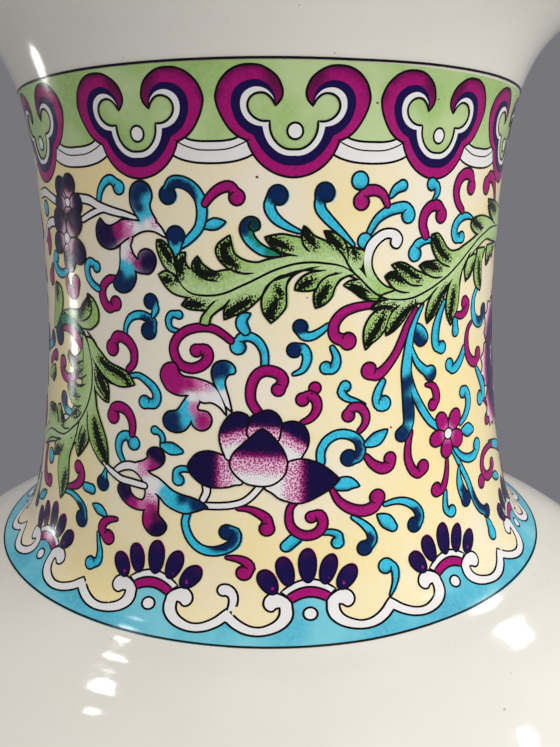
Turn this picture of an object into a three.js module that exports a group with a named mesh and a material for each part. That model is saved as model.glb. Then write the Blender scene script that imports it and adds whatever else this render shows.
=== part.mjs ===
// A tall baluster vase in glazed porcelain: a broad belly, a waisted neck and a flared mouth.
// It is thrown in four sections, which are luted together with slip, and its neck carries a
// band of enamel in three coats, laid in a shallow turned recess.
// Millimetres, +Z up. The origin is on the axis, in the plane that the foot stands on.
import * as THREE from 'three';

// Driving dimensions
const HEIGHT = 400;
const FOOT_RADIUS = 72.5;
const FOOT_RING_WIDTH = 9.5;
const FOOT_CHAMFER = 2;
const BASE_RECESS = 8;
const BASE_THICKNESS = 6.5;
const BELLY_RADIUS = 118.5;
const BELLY_HEIGHT = 203;
const WAIST_RADIUS = 49.4;
const WAIST_HEIGHT = 337;
const LIP_RADIUS = 81.2;
const LIP_ROLL = 2.1;
const FLARE_ANGLE = THREE.MathUtils.degToRad(66);
const WALL = 5.5;

// The heights at which the thrown sections are luted together
const FOOT_JOINT = 62;
const BELLY_JOINT = BELLY_HEIGHT;
const NECK_JOINT = 274.5;
const SLIP_WIDTH = 1.2;
const SLIP_RIDGE = 0.8;
const SEAT_GAP = 0.3;

// The enamelled band: where it starts and ends, and how it is divided
const BAND_FOOT = 278.84;
const BAND_HEAD = 371.6;
const RECESS_DEPTH = 0.6;
const COAT_PROUD = 0.1;
const RUYI_HEADS = 12;
const RUYI_PHASE = THREE.MathUtils.degToRad(5.34);
const RUYI_RADIUS = 50.5;
const HALF_FLOWERS = 12;
const FLOWER_PHASE = THREE.MathUtils.degToRad(8);
const FLOWER_RADIUS = 57;

// How finely the round forms are faceted: a facet of the profile turns by no more than
// FACET_TURN and is no longer than FACET_LENGTH
const TURNS = 48;
const COAT_COLUMNS = 96;
const FACET_TURN = THREE.MathUtils.degToRad(10);
const RECESS_TURN = THREE.MathUtils.degToRad(5);
const FACET_LENGTH = 28;
const RECESS_LENGTH = 11;
const LIP_STEPS = 4;

// The outside of the vase as one smooth line from the foot to the mouth
const lipCentre = new THREE.Vector2(LIP_RADIUS - LIP_ROLL, HEIGHT - LIP_ROLL);
const lipNormal = new THREE.Vector2(Math.cos(FLARE_ANGLE), -Math.sin(FLARE_ANGLE));
const mouthEdge = lipCentre.clone().addScaledVector(lipNormal, LIP_ROLL);
const outside = new THREE.SplineCurve([
  new THREE.Vector2(FOOT_RADIUS - 0.3, FOOT_CHAMFER),
  new THREE.Vector2(FOOT_RADIUS, 16),
  new THREE.Vector2(FOOT_RADIUS + 2, 36),
  new THREE.Vector2(79.3, 60),
  new THREE.Vector2(86.5, 84),
  new THREE.Vector2(95.4, 110),
  new THREE.Vector2(104.8, 137),
  new THREE.Vector2(112.6, 162),
  new THREE.Vector2(117.3, 184),
  new THREE.Vector2(BELLY_RADIUS, BELLY_HEIGHT),
  new THREE.Vector2(117.3, 218),
  new THREE.Vector2(113.2, 232),
  new THREE.Vector2(106.2, 244.5),
  new THREE.Vector2(97, 256),
  new THREE.Vector2(87, 265),
  new THREE.Vector2(77.2, 272.2),
  new THREE.Vector2(69, 276.3),
  new THREE.Vector2(62.6, BAND_FOOT),
  new THREE.Vector2(58.2, 281.9),
  new THREE.Vector2(55.2, 286.4),
  new THREE.Vector2(53.2, 292.5),
  new THREE.Vector2(51.7, 300),
  new THREE.Vector2(50.6, 310),
  new THREE.Vector2(49.8, 323),
  new THREE.Vector2(WAIST_RADIUS, WAIST_HEIGHT),
  new THREE.Vector2(49.8, 350),
  new THREE.Vector2(51.2, 362),
  new THREE.Vector2(53.7, BAND_HEAD),
  new THREE.Vector2(56.9, 379.6),
  new THREE.Vector2(62.2, 385.6),
  new THREE.Vector2(70, 391.3),
  mouthEdge,
]);
outside.arcLengthDivisions = 2000;
const LENGTH = outside.getLength();

// Places on the outside line are its arc length, in millimetres from the foot.
function arcAtHeight(height) {
  let low = 0;
  let high = LENGTH;
  for (let step = 0; step < 40; step++) {
    const middle = (low + high) / 2;
    if (outside.getPointAt(middle / LENGTH).y < height) low = middle;
    else high = middle;
  }
  return (low + high) / 2;
}

// The point that lies the given depth under the outside at the arc length, square to it
function under(arc, depth) {
  const at = THREE.MathUtils.clamp(arc / LENGTH, 0, 1);
  const along = outside.getTangentAt(at);
  const outwards = new THREE.Vector2(along.y, -along.x);
  return outside.getPointAt(at).addScaledVector(outwards, -depth);
}

// The wall thins from the flare to the rolled lip.
const FLARE_START = arcAtHeight(BAND_HEAD);
function wallAt(arc) {
  const share = THREE.MathUtils.smoothstep(arc, FLARE_START, LENGTH);
  return THREE.MathUtils.lerp(WALL, 2 * LIP_ROLL, share);
}

// Points along the wall from one arc length to a higher one, at a depth under the outside,
// closer together where the line bends
function stretch(from, to, depthAt, turn = FACET_TURN, length = FACET_LENGTH) {
  const stride = 0.5;
  const arcs = [from];
  let last = outside.getTangentAt(from / LENGTH);
  for (let arc = from + stride; arc < to - stride; arc += stride) {
    const along = outside.getTangentAt(arc / LENGTH);
    const turned = Math.abs(along.angle() - last.angle());
    if (turned < turn && arc - arcs[arcs.length - 1] < length) continue;
    arcs.push(arc);
    last = along;
  }
  arcs.push(to);
  return arcs.map((arc) => under(arc, depthAt(arc)));
}

const downwards = (from, to, depthAt) => stretch(from, to, depthAt).reverse();
const onSkin = () => 0;

// The arc lengths where a section ends and its neighbour starts, with the slip between them
function jointAt(height) {
  const middle = arcAtHeight(height);
  const reach = SLIP_WIDTH / 2 + SEAT_GAP;
  return { middle, below: middle - reach, above: middle + reach };
}

const footJoint = jointAt(FOOT_JOINT);
const bellyJoint = jointAt(BELLY_JOINT);
const neckJoint = jointAt(NECK_JOINT);

const porcelain = (name) => {
  const material = new THREE.MeshStandardMaterial({ color: 0xded9d1, roughness: 0.12, metalness: 0 });
  material.name = name;
  return material;
};
const enamel = (name, color) => {
  const material = new THREE.MeshStandardMaterial({ color, roughness: 0.18, metalness: 0 });
  material.name = name;
  return material;
};

// A profile that runs up the outside and down the inside, turned about the vertical axis
function turned(name, profile, material) {
  const geometry = new THREE.LatheGeometry(profile, TURNS);
  geometry.rotateX(Math.PI / 2);
  const mesh = new THREE.Mesh(geometry, material);
  mesh.name = name;
  return mesh;
}

function closed(points) {
  return [...points, points[0].clone()];
}

// The foot: a closed base, recessed under a flat ring, and the start of the wall
function footAndBase() {
  const ringInside = FOOT_RADIUS - FOOT_RING_WIDTH - FOOT_CHAMFER / 2;
  const floorTop = BASE_RECESS + BASE_THICKNESS;
  const wallStart = arcAtHeight(floorTop + 10);
  const profile = [
    new THREE.Vector2(0, BASE_RECESS + 1),
    new THREE.Vector2(ringInside - 3.5, BASE_RECESS),
    new THREE.Vector2(ringInside - 1, BASE_RECESS - 2.5),
    new THREE.Vector2(ringInside, 0),
    new THREE.Vector2(FOOT_RADIUS - FOOT_CHAMFER, 0),
    ...stretch(0, footJoint.below, onSkin),
    ...downwards(wallStart, footJoint.below, wallAt),
    new THREE.Vector2(FOOT_RADIUS - WALL - 2.5, floorTop + 4.5),
    new THREE.Vector2(FOOT_RADIUS - WALL - 9, floorTop + 1),
    new THREE.Vector2(0, floorTop),
  ];
  return turned('foot_and_base', profile, porcelain('porcelain_foot'));
}

function thrownSection(name, from, to) {
  const profile = closed([...stretch(from, to, onSkin), ...downwards(from, to, wallAt)]);
  return turned(name, profile, porcelain('porcelain_' + name));
}

// The mouth and neck, with a rolled lip and the turned recess that holds the enamel
const bandStart = arcAtHeight(BAND_FOOT);
const bandEnd = arcAtHeight(BAND_HEAD);
const atRecess = () => RECESS_DEPTH;
function mouthAndNeck() {
  const lip = [];
  for (let step = 1; step < LIP_STEPS; step++) {
    const angle = (Math.PI * step) / LIP_STEPS - FLARE_ANGLE;
    const spoke = new THREE.Vector2(Math.cos(angle), Math.sin(angle));
    lip.push(lipCentre.clone().addScaledVector(spoke, LIP_ROLL));
  }
  const profile = closed([
    ...stretch(neckJoint.above, bandStart, onSkin),
    ...stretch(bandStart, bandEnd, atRecess, RECESS_TURN, RECESS_LENGTH),
    ...stretch(bandEnd, LENGTH, onSkin),
    ...lip,
    ...downwards(neckJoint.above, LENGTH, wallAt),
  ]);
  return turned('mouth_and_neck', profile, porcelain('porcelain_neck'));
}

// A ring of slip in a joint: flush outside, and squeezed to a low ridge inside
function lutingSlip(name, joint) {
  const half = SLIP_WIDTH / 2;
  const depth = wallAt(joint.middle);
  const profile = closed([
    under(joint.middle - half, 0),
    under(joint.middle + half, 0),
    under(joint.middle + half, depth),
    under(joint.middle, depth + SLIP_RIDGE),
    under(joint.middle - half, depth),
  ]);
  const slip = new THREE.MeshStandardMaterial({ color: 0xd2ccc2, roughness: 0.6, metalness: 0 });
  slip.name = name;
  return turned(name, profile, slip);
}

// The angle from the nearest of a ring of evenly spaced motifs, as a length on the surface
function offset(theta, count, phase, radius) {
  const pitch = (2 * Math.PI) / count;
  const turns = (theta - phase) / pitch;
  return Math.abs(turns - Math.round(turns)) * pitch * radius;
}

// The lower edge of the green coat: round cloud heads that dip, with hanging swags between
function ruyiEdge(theta) {
  const pinch = 82.3;
  const headHalf = 7;
  const off = offset(theta, RUYI_HEADS, RUYI_PHASE, RUYI_RADIUS);
  if (off < headHalf) return pinch - 3.6 * (1 - (off / headHalf) ** 2);
  const half = (Math.PI / RUYI_HEADS) * RUYI_RADIUS;
  return pinch - 1.8 * (1 - ((half - off) / (half - headHalf)) ** 2);
}

// The upper edge of the blue coat: an arch under each half flower, and a round lobe on each side
function bracketEdge(theta) {
  const archHalf = 3.2;
  const off = offset(theta, HALF_FLOWERS, FLOWER_PHASE, FLOWER_RADIUS);
  if (off < archHalf) return 3.4 + 3.6 * (1 - (off / archHalf) ** 2);
  const half = (Math.PI / HALF_FLOWERS) * FLOWER_RADIUS;
  const across = (off - archHalf) / (half - archHalf);
  return 1.8 + 6.4 * (across - 0.5) ** 2 + 1.4 * across ** 4;
}

// A coat of enamel on the neck between two edges, each given round the neck as an arc length
// above the foot of the band
function coat(name, lowerEdge, upperEdge, rows, spread, color) {
  const positions = [];
  for (let column = 0; column < COAT_COLUMNS; column++) {
    const theta = (2 * Math.PI * column) / COAT_COLUMNS;
    for (let row = 0; row <= rows; row++) {
      const share = Math.pow(row / rows, spread);
      const arc = bandStart + THREE.MathUtils.lerp(lowerEdge(theta), upperEdge(theta), share);
      for (const depth of [-COAT_PROUD, RECESS_DEPTH - SEAT_GAP]) {
        const point = under(arc, depth);
        positions.push(point.x * Math.sin(theta), -point.x * Math.cos(theta), point.y);
      }
    }
  }
  const outer = (column, row) => ((column % COAT_COLUMNS) * (rows + 1) + row) * 2;
  const inner = (column, row) => outer(column, row) + 1;
  const indices = [];
  const quad = (a, b, c, d) => indices.push(a, b, c, a, c, d);
  for (let column = 0; column < COAT_COLUMNS; column++) {
    const next = column + 1;
    for (let row = 0; row < rows; row++) {
      quad(outer(column, row), outer(next, row), outer(next, row + 1), outer(column, row + 1));
      quad(inner(column, row + 1), inner(next, row + 1), inner(next, row), inner(column, row));
    }
    quad(inner(column, 0), inner(next, 0), outer(next, 0), outer(column, 0));
    quad(outer(column, rows), outer(next, rows), inner(next, rows), inner(column, rows));
  }
  const geometry = new THREE.BufferGeometry();
  geometry.setAttribute('position', new THREE.Float32BufferAttribute(positions, 3));
  geometry.setIndex(indices);
  geometry.computeVertexNormals();
  const mesh = new THREE.Mesh(geometry, enamel(name, color));
  mesh.name = name;
  return mesh;
}

const bandLength = bandEnd - bandStart;
const blueFoot = () => SEAT_GAP;
const blueHead = (theta) => bracketEdge(theta) - SEAT_GAP / 2;
const yellowFoot = (theta) => bracketEdge(theta) + SEAT_GAP / 2;
const yellowHead = (theta) => ruyiEdge(theta) - SEAT_GAP / 2;
const greenFoot = (theta) => ruyiEdge(theta) + SEAT_GAP / 2;
const greenHead = () => bandLength - SEAT_GAP;

const vase = new THREE.Group();
vase.name = 'baluster_vase';
vase.add(
  footAndBase(),
  thrownSection('lower_body', footJoint.above, bellyJoint.below),
  thrownSection('upper_body', bellyJoint.above, neckJoint.below),
  mouthAndNeck(),
  lutingSlip('foot_luting_slip', footJoint),
  lutingSlip('belly_luting_slip', bellyJoint),
  lutingSlip('neck_luting_slip', neckJoint),
  coat('blue_border_enamel', blueFoot, blueHead, 3, 1, 0x4bb4d7),
  coat('yellow_field_enamel', yellowFoot, yellowHead, 7, 1.35, 0xf0e1b4),
  coat('green_border_enamel', greenFoot, greenHead, 2, 1, 0x9bc373),
);

export default vase;
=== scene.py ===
import math

import bpy
import numpy as np
from mathutils import Euler, Matrix, Vector
from mathutils.geometry import delaunay_2d_cdt


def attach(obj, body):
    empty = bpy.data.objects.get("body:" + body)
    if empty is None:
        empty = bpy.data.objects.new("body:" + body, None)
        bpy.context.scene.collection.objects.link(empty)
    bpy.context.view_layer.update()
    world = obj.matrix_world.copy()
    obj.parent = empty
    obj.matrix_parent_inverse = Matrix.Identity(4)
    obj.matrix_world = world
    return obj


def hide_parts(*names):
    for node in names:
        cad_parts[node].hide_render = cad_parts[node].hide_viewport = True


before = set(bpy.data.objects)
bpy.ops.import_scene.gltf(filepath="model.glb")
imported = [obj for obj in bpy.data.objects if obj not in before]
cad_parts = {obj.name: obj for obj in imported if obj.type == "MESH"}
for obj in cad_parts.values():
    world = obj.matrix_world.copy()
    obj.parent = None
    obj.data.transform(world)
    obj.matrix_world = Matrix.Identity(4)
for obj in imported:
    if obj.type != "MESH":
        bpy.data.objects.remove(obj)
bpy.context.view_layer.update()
bpy.ops.object.select_all(action="DESELECT")

# The outline of the vase. A template gives the outside from the foot to the mouth as one fair
# curve, in millimetres from the axis and from the foot ring. The potter throws four sections to
# it, with a wall that is even up to the flare and thins to a rolled lip.
MM = 0.001
FOOT_RADIUS = 72.5
BELLY = (118.5, 203)
WAIST = (49.4, 337)
BAND_FOOT = (62.6, 278.84)
BAND_HEAD = (52.3, 371.6)
WALL = 5.5
LIP_ROLL = 2.1
LIP_CENTRE = np.array((79.1, 397.9))
FLARE_ANGLE = math.radians(66)
lip_normal = np.array((math.cos(FLARE_ANGLE), -math.sin(FLARE_ANGLE)))
mouth_edge = tuple(LIP_CENTRE + LIP_ROLL * lip_normal)
TEMPLATE = [
    (FOOT_RADIUS - 0.3, 2), (FOOT_RADIUS, 16), (FOOT_RADIUS + 2, 36), (79.3, 60), (86.5, 84),
    (95.4, 110), (104.8, 137), (112.6, 162), (117.3, 184), BELLY, (117.3, 218), (113.2, 232),
    (106.2, 244.5), (97, 256), (87, 265), (77.2, 272.2), (69, 276.3), BAND_FOOT, (58.2, 281.9),
    (55.6, 286.4), (53.9, 292.5), (52.4, 300), (51.1, 310), (49.8, 323), WAIST, (49.6, 350),
    (50.4, 362), BAND_HEAD, (55.7, 379.6), (61.1, 385.6), (69.3, 391.3), mouth_edge,
]


def smooth_line(points, step):
    """A fair curve through the points, as points about one step apart."""
    points = np.array(points, float)
    padded = np.vstack([points[:1], points, points[-1:]])
    run = []
    for before, start, end, after in zip(padded, padded[1:], padded[2:], padded[3:]):
        pieces = max(2, math.ceil(np.linalg.norm(end - start) / step))
        t = np.linspace(0, 1, pieces, endpoint=False)[:, None]
        leave, arrive = (end - before) / 2, (after - start) / 2
        run.append(
            start + leave * t + (3 * (end - start) - 2 * leave - arrive) * t**2
            + (2 * (start - end) + leave + arrive) * t**3
        )
    return np.vstack(run + [points[-1:]])


outside = smooth_line(TEMPLATE, 0.25)
outside_arc = np.concatenate([[0], np.cumsum(np.linalg.norm(np.diff(outside, axis=0), axis=1))])
outside_slope = np.gradient(outside, outside_arc, axis=0)
outside_slope /= np.linalg.norm(outside_slope, axis=1)[:, None]


def skin(arc, depth=0.0):
    """Radius and height of the points at those lengths along the outside, that deep under it."""
    place = [np.interp(arc, outside_arc, outside[:, k]) for k in (0, 1)]
    along = [np.interp(arc, outside_arc, outside_slope[:, k]) for k in (0, 1)]
    return np.stack([place[0] - along[1] * depth, place[1] + along[0] * depth], axis=-1)


def arc_at(height):
    return float(np.interp(height, outside[:, 1], outside_arc))


FLARE_START = arc_at(BAND_HEAD[1])
MOUTH_ARC = outside_arc[-1]


def wall_at(arc):
    share = np.clip((arc - FLARE_START) / (MOUTH_ARC - FLARE_START), 0, 1)
    return WALL + (2 * LIP_ROLL - WALL) * share**2 * (3 - 2 * share)


# The glaze. A clear glossy coat over greyish white porcelain, a little warmer where it lies
# thick, with a soft ripple, faint throwing rings under it and a few dark pinholes. It stops just
# above the foot ring, whose bare body is rougher and browner.
def colour(red, green, blue):
    """The working colour of a colour as it is seen, given from 0 to 255."""
    seen = np.array((red, green, blue)) / 255
    linear = np.where(seen <= 0.04045, seen / 12.92, ((seen + 0.055) / 1.055) ** 2.4)
    return (*(float(value) for value in linear), 1.0)


class Recipe:
    """A material being built: it adds nodes to the tree and joins them up."""

    def __init__(self, name):
        self.material = bpy.data.materials.new(name)
        self.material.use_nodes = True
        self.tree = self.material.node_tree
        self.shader = self.tree.nodes["Principled BSDF"]
        self.place = self.add("ShaderNodeTexCoord").outputs["Object"]

    def add(self, kind, inputs=None, **settings):
        node = self.tree.nodes.new(kind)
        for key, value in settings.items():
            setattr(node, key, value)
        for key, value in (inputs or {}).items():
            if isinstance(value, bpy.types.NodeSocket):
                self.tree.links.new(value, node.inputs[key])
            else:
                node.inputs[key].default_value = value
        return node

    def noise(self, scale, detail=2.0, roughness=0.5):
        inputs = {"Vector": self.place, "Scale": scale, "Detail": detail, "Roughness": roughness}
        return self.add("ShaderNodeTexNoise", inputs).outputs["Fac"]

    def ranged(self, value, low, high, to_low=0.0, to_high=1.0):
        inputs = {"Value": value, 1: low, 2: high, 3: to_low, 4: to_high}
        return self.add("ShaderNodeMapRange", inputs).outputs["Result"]

    def mixed(self, share, first, second, blend="MIX"):
        inputs = {"Factor": share, "A": first, "B": second}
        node = self.add("ShaderNodeMix", data_type="RGBA", blend_type=blend)
        for socket in node.inputs:
            if not socket.enabled or socket.name not in inputs:
                continue
            value = inputs[socket.name]
            if isinstance(value, bpy.types.NodeSocket):
                self.tree.links.new(value, socket)
            else:
                socket.default_value = value
        return next(socket for socket in node.outputs if socket.enabled)

    def math(self, operation, first, second=0.0):
        inputs = {0: first, 1: second}
        return self.add("ShaderNodeMath", inputs, operation=operation).outputs[0]

    def bump(self, height, distance, strength=1.0, under=None):
        inputs = {"Height": height, "Distance": distance, "Strength": strength}
        if under is not None:
            inputs["Normal"] = under
        return self.add("ShaderNodeBump", inputs).outputs["Normal"]

    def finish(self, **inputs):
        for key, value in inputs.items():
            key = key.replace("_", " ")
            socket = self.shader.inputs[key]
            if isinstance(value, bpy.types.NodeSocket):
                self.tree.links.new(value, socket)
            else:
                socket.default_value = value
        return self.material


GLAZE = colour(229, 225, 215)
GLAZE_THICK = colour(221, 216, 203)
BARE_BODY = colour(196, 180, 158)
BARE_EDGE = colour(171, 142, 108)


def glaze_material():
    recipe = Recipe("clear_glaze_on_porcelain")
    height = recipe.add("ShaderNodeSeparateXYZ", {0: recipe.place}).outputs["Z"]
    patches = recipe.ranged(recipe.noise(22, 3), 0.35, 0.7)
    clean = recipe.mixed(patches, GLAZE, GLAZE_THICK)
    specks = recipe.ranged(recipe.noise(900, 1), 0.79, 0.82, 0, 0.5)
    speckled = recipe.mixed(specks, clean, colour(126, 108, 86))
    wander = recipe.math("MULTIPLY", recipe.noise(60, 3), 0.0012)
    level = recipe.math("ADD", height, wander)
    glazed = recipe.ranged(level, 0.0026, 0.0031)
    edge = recipe.ranged(level, 0.0018, 0.0028)
    grain = recipe.noise(1400, 4)
    bare = recipe.mixed(recipe.ranged(grain, 0.3, 0.7), BARE_BODY, colour(180, 163, 140))
    bare = recipe.mixed(edge, bare, BARE_EDGE)
    paint = recipe.mixed(glazed, bare, speckled)
    gloss = recipe.ranged(recipe.noise(35, 4), 0.3, 0.75, 0.06, 0.13)
    rough = recipe.math("MULTIPLY", recipe.math("SUBTRACT", 1.0, glazed), 0.6)
    ripple = recipe.bump(recipe.noise(45, 2), 0.0006, 0.35)
    peel = recipe.bump(recipe.noise(420, 2), 0.00004, 0.5, ripple)
    pits = recipe.math("MULTIPLY", recipe.math("SUBTRACT", 1.0, glazed), grain)
    normal = recipe.bump(pits, 0.0003, 0.8, peel)
    return recipe.finish(Base_Color=paint, Roughness=recipe.math("ADD", gloss, rough),
                         Normal=normal, IOR=1.5, Coat_Weight=0.25, Coat_Roughness=0.04)


glaze = glaze_material()


# The foot and base: thrown as a thick dish, with a ring turned under it and the base inside the
# ring hollowed. The ring stands bare, so that the glaze doesn't fix the vase to the kiln shelf.
TURN_STEPS = 192
JOINT_HEIGHTS = {"foot": 62.0, "belly": BELLY[1], "neck": 274.5}
SLIP_HALF = 0.6
SLIP_DEPTH = 0.5
SLIP_CLEARANCE = 0.02
BASE_RECESS = 8.0
BASE_TOP = 14.5
RING_INSIDE = 62.0
CREASE = math.radians(32)
joint_arcs = {name: arc_at(height) for name, height in JOINT_HEIGHTS.items()}


def turned(name, profile, material, steps=TURN_STEPS):
    """Turn an outline of (radius, height) about the axis. It closes on itself or on the axis."""
    mesh = bpy.data.meshes.new(name)
    corners = [(radius * MM, 0, height * MM) for radius, height in profile]
    count = len(corners)
    on_axis = profile[0][0] == 0 and profile[-1][0] == 0
    sides = [(k, (k + 1) % count) for k in range(count - on_axis)]
    mesh.from_pydata(corners, sides, [])
    piece = bpy.data.objects.new(name, mesh)
    bpy.context.scene.collection.objects.link(piece)
    bpy.ops.object.select_all(action="DESELECT")
    piece.select_set(True)
    bpy.context.view_layer.objects.active = piece
    bpy.ops.object.mode_set(mode="EDIT")
    bpy.ops.mesh.select_all(action="SELECT")
    bpy.ops.mesh.spin(steps=steps, angle=2 * math.pi, center=(0, 0, 0), axis=(0, 0, 1))
    bpy.ops.mesh.select_all(action="SELECT")
    bpy.ops.mesh.remove_doubles(threshold=0.000002)
    bpy.ops.mesh.normals_make_consistent(inside=False)
    bpy.ops.object.mode_set(mode="OBJECT")
    bpy.ops.object.shade_smooth_by_angle(angle=CREASE)
    piece.data.materials.append(material)
    piece.select_set(False)
    return piece


def arcs(start, end, step=2.0):
    return np.linspace(start, end, max(2, math.ceil((end - start) / step) + 1))


def outer_run(start, end, step=2.0):
    return [tuple(point) for point in skin(arcs(start, end, step))]


def inner_run(start, end, step=2.0):
    """Down the inside of the wall, from the higher length to the lower one."""
    line = arcs(start, end, step)
    return [tuple(point) for point in skin(line, wall_at(line))[::-1]]


def joint_step(name, side):
    """Where two sections meet: the glaze closes over the slip, and the wall stops beside it."""
    arc = joint_arcs[name]
    back = arc + side * (SLIP_HALF + SLIP_CLEARANCE)
    points = [tuple(skin(arc, SLIP_DEPTH)), tuple(skin(back, SLIP_DEPTH))]
    return points if side < 0 else points[::-1]


def place(piece, nodes, slot):
    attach(piece, "root")
    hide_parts(*nodes)
    return piece


foot_back = joint_arcs["foot"] - SLIP_HALF - SLIP_CLEARANCE
foot_profile = (
    [(0, BASE_RECESS + 1), (30, BASE_RECESS + 0.7), (56, BASE_RECESS + 0.1)]
    + [(58.5, BASE_RECESS - 0.6), (60.2, BASE_RECESS - 2.4), (60.9, BASE_RECESS - 5)]
    + [(RING_INSIDE - 0.7, 1.4), (RING_INSIDE - 0.2, 0.5), (RING_INSIDE + 0.6, 0.06)]
    + [(RING_INSIDE + 1.5, 0), (FOOT_RADIUS - 2.6, 0), (FOOT_RADIUS - 1.6, 0.12)]
    + [(FOOT_RADIUS - 0.9, 0.5), (FOOT_RADIUS - 0.45, 1.1)]
    + outer_run(0, joint_arcs["foot"])
    + joint_step("foot", -1)
    + inner_run(arc_at(26), foot_back)
    + [(65.6, 20.6), (63.5, 18.2), (60.5, 16.5), (56, 15.4), (48, 14.9), (30, 14.6), (0, BASE_TOP)]
)
thrown_foot = place(turned("thrown_foot", foot_profile, glaze), ["foot_and_base"], "porcelain")


# The body: two thrown sections that meet at the widest part of the belly, glazed inside and out.
def thrown_section(name, node, lower, upper):
    start, end = joint_arcs[lower], joint_arcs[upper]
    gap = SLIP_HALF + SLIP_CLEARANCE
    profile = (
        joint_step(lower, 1) + outer_run(start, end, 1.5)
        + joint_step(upper, -1) + inner_run(start + gap, end - gap)
    )
    return place(turned(name, profile, glaze), [node], "porcelain")


thrown_lower_body = thrown_section("thrown_lower_body", "lower_body", "foot", "belly")
thrown_upper_body = thrown_section("thrown_upper_body", "upper_body", "belly", "neck")


# The luting slip: a ring of thick slip in each joint, squeezed out to a low bead inside, wiped
# smooth and fired with the rest. It is matt, and greyer than the body.
BEAD = 0.8


def slip_material():
    recipe = Recipe("fired_slip")
    grain = recipe.noise(700, 4)
    paint = recipe.mixed(recipe.ranged(grain, 0.3, 0.7), colour(214, 207, 195), colour(190, 181, 166))
    wiped = recipe.bump(recipe.noise(160, 3), 0.0002, 0.5)
    normal = recipe.bump(grain, 0.00006, 0.6, wiped)
    rough = recipe.ranged(grain, 0.2, 0.8, 0.5, 0.72)
    return recipe.finish(Base_Color=paint, Roughness=rough, Normal=normal)


slip = slip_material()


def slip_ring(name, node, joint):
    arc = joint_arcs[joint]
    wall = float(wall_at(arc))
    under = SLIP_DEPTH + SLIP_CLEARANCE
    edge = [skin(arc - SLIP_HALF, under), skin(arc + SLIP_HALF, under)]
    bead = []
    for share in np.linspace(1, -1, 9):
        lift = BEAD * math.cos(share * math.pi / 2)
        bead.append(skin(arc + share * SLIP_HALF, wall + lift))
    profile = [tuple(point) for point in edge + bead]
    return place(turned(name, profile, slip), [node], "luting_slip")


foot_bead = slip_ring("foot_slip_ring", "foot_luting_slip", "foot")
belly_bead = slip_ring("belly_slip_ring", "belly_luting_slip", "belly")
neck_bead = slip_ring("neck_slip_ring", "neck_luting_slip", "neck")


# The mouth and neck: one thrown section from the shoulder to the rolled lip, with a shallow
# recess turned round the neck to hold the enamel.
RECESS_DEPTH = 0.6
band_foot_arc = arc_at(BAND_FOOT[1])
band_length = FLARE_START - band_foot_arc
neck_start = joint_arcs["neck"]
lip_roll = []
for share in np.linspace(0, 1, 14)[1:-1]:
    turn = math.pi * share - FLARE_ANGLE
    lip_roll.append(tuple(LIP_CENTRE + LIP_ROLL * np.array((math.cos(turn), math.sin(turn)))))
recess_line = arcs(band_foot_arc, FLARE_START, 1.5)
neck_profile = (
    joint_step("neck", 1) + outer_run(neck_start, band_foot_arc, 0.8)
    + [tuple(point) for point in skin(recess_line, RECESS_DEPTH)]
    + outer_run(FLARE_START, MOUTH_ARC, 0.8) + lip_roll
    + inner_run(neck_start + SLIP_HALF + SLIP_CLEARANCE, MOUTH_ARC, 1.2)
)
thrown_neck = place(turned("thrown_neck", neck_profile, glaze), ["mouth_and_neck"], "porcelain")


# The coats of enamel: three colours flooded into the recess, blue below, yellow over the field
# and green above, thin enough that the brush strokes and the transfer's grain show. Places on the
# band are in millimetres: u round the neck from near the front towards +X, v up from the lower line.
ROUND = 50.0
TURNED = -0.8
TURN = 2 * math.pi * ROUND
COAT_LIFT = 0.1
COAT_UNDER = 0.45
INK = colour(12, 8, 8)


def on_band(u, v, lift):
    """The points of the band at those places, that far off the skin, and the way out there."""
    arc = band_foot_arc + np.asarray(v, float)
    angle = (np.asarray(u, float) + TURNED) / ROUND
    radius, height = skin(arc, -lift).T
    slope = [np.interp(arc, outside_arc, outside_slope[:, k]) for k in (0, 1)]
    around = np.sin(angle), -np.cos(angle)
    points = np.stack([radius * around[0], radius * around[1], height], axis=1) * MM
    outwards = np.stack([slope[1] * around[0], slope[1] * around[1], -slope[0]], axis=1)
    return points, outwards


def winding(points, loop):
    """How many times the loop goes round each point, counter-clockwise."""
    start, end = loop, np.roll(loop, -1, axis=0)
    x, y = points[:, :1], points[:, 1:]
    side = (end[:, 0] - start[:, 0]) * (y - start[:, 1]) - (x - start[:, 0]) * (end[:, 1] - start[:, 1])
    rises = (start[:, 1] <= y) & (end[:, 1] > y) & (side > 0)
    falls = (start[:, 1] > y) & (end[:, 1] <= y) & (side < 0)
    return rises.sum(1) - falls.sum(1)


def turned_left(loop):
    """The loop with its inside on its left."""
    x, y = loop[:, 0], loop[:, 1]
    area = np.sum(x * np.roll(y, -1) - y * np.roll(x, -1))
    return loop if area > 0 else loop[::-1]


def lattice(loop, spacing):
    """Points in rows and staggered columns over the loop's box, kept where the loop is."""
    low, high = loop.min(0), loop.max(0)
    rows = np.arange(low[1] + spacing / 2, high[1], spacing * 0.866)
    found = []
    for row, v in enumerate(rows):
        across = np.arange(low[0] + spacing * (0.3 + 0.5 * (row % 2)), high[0], spacing)
        found += [(u, v) for u in across]
    if not found:
        return np.zeros((0, 2))
    found = np.array(found)
    return found[winding(found, loop) > 0]


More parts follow.
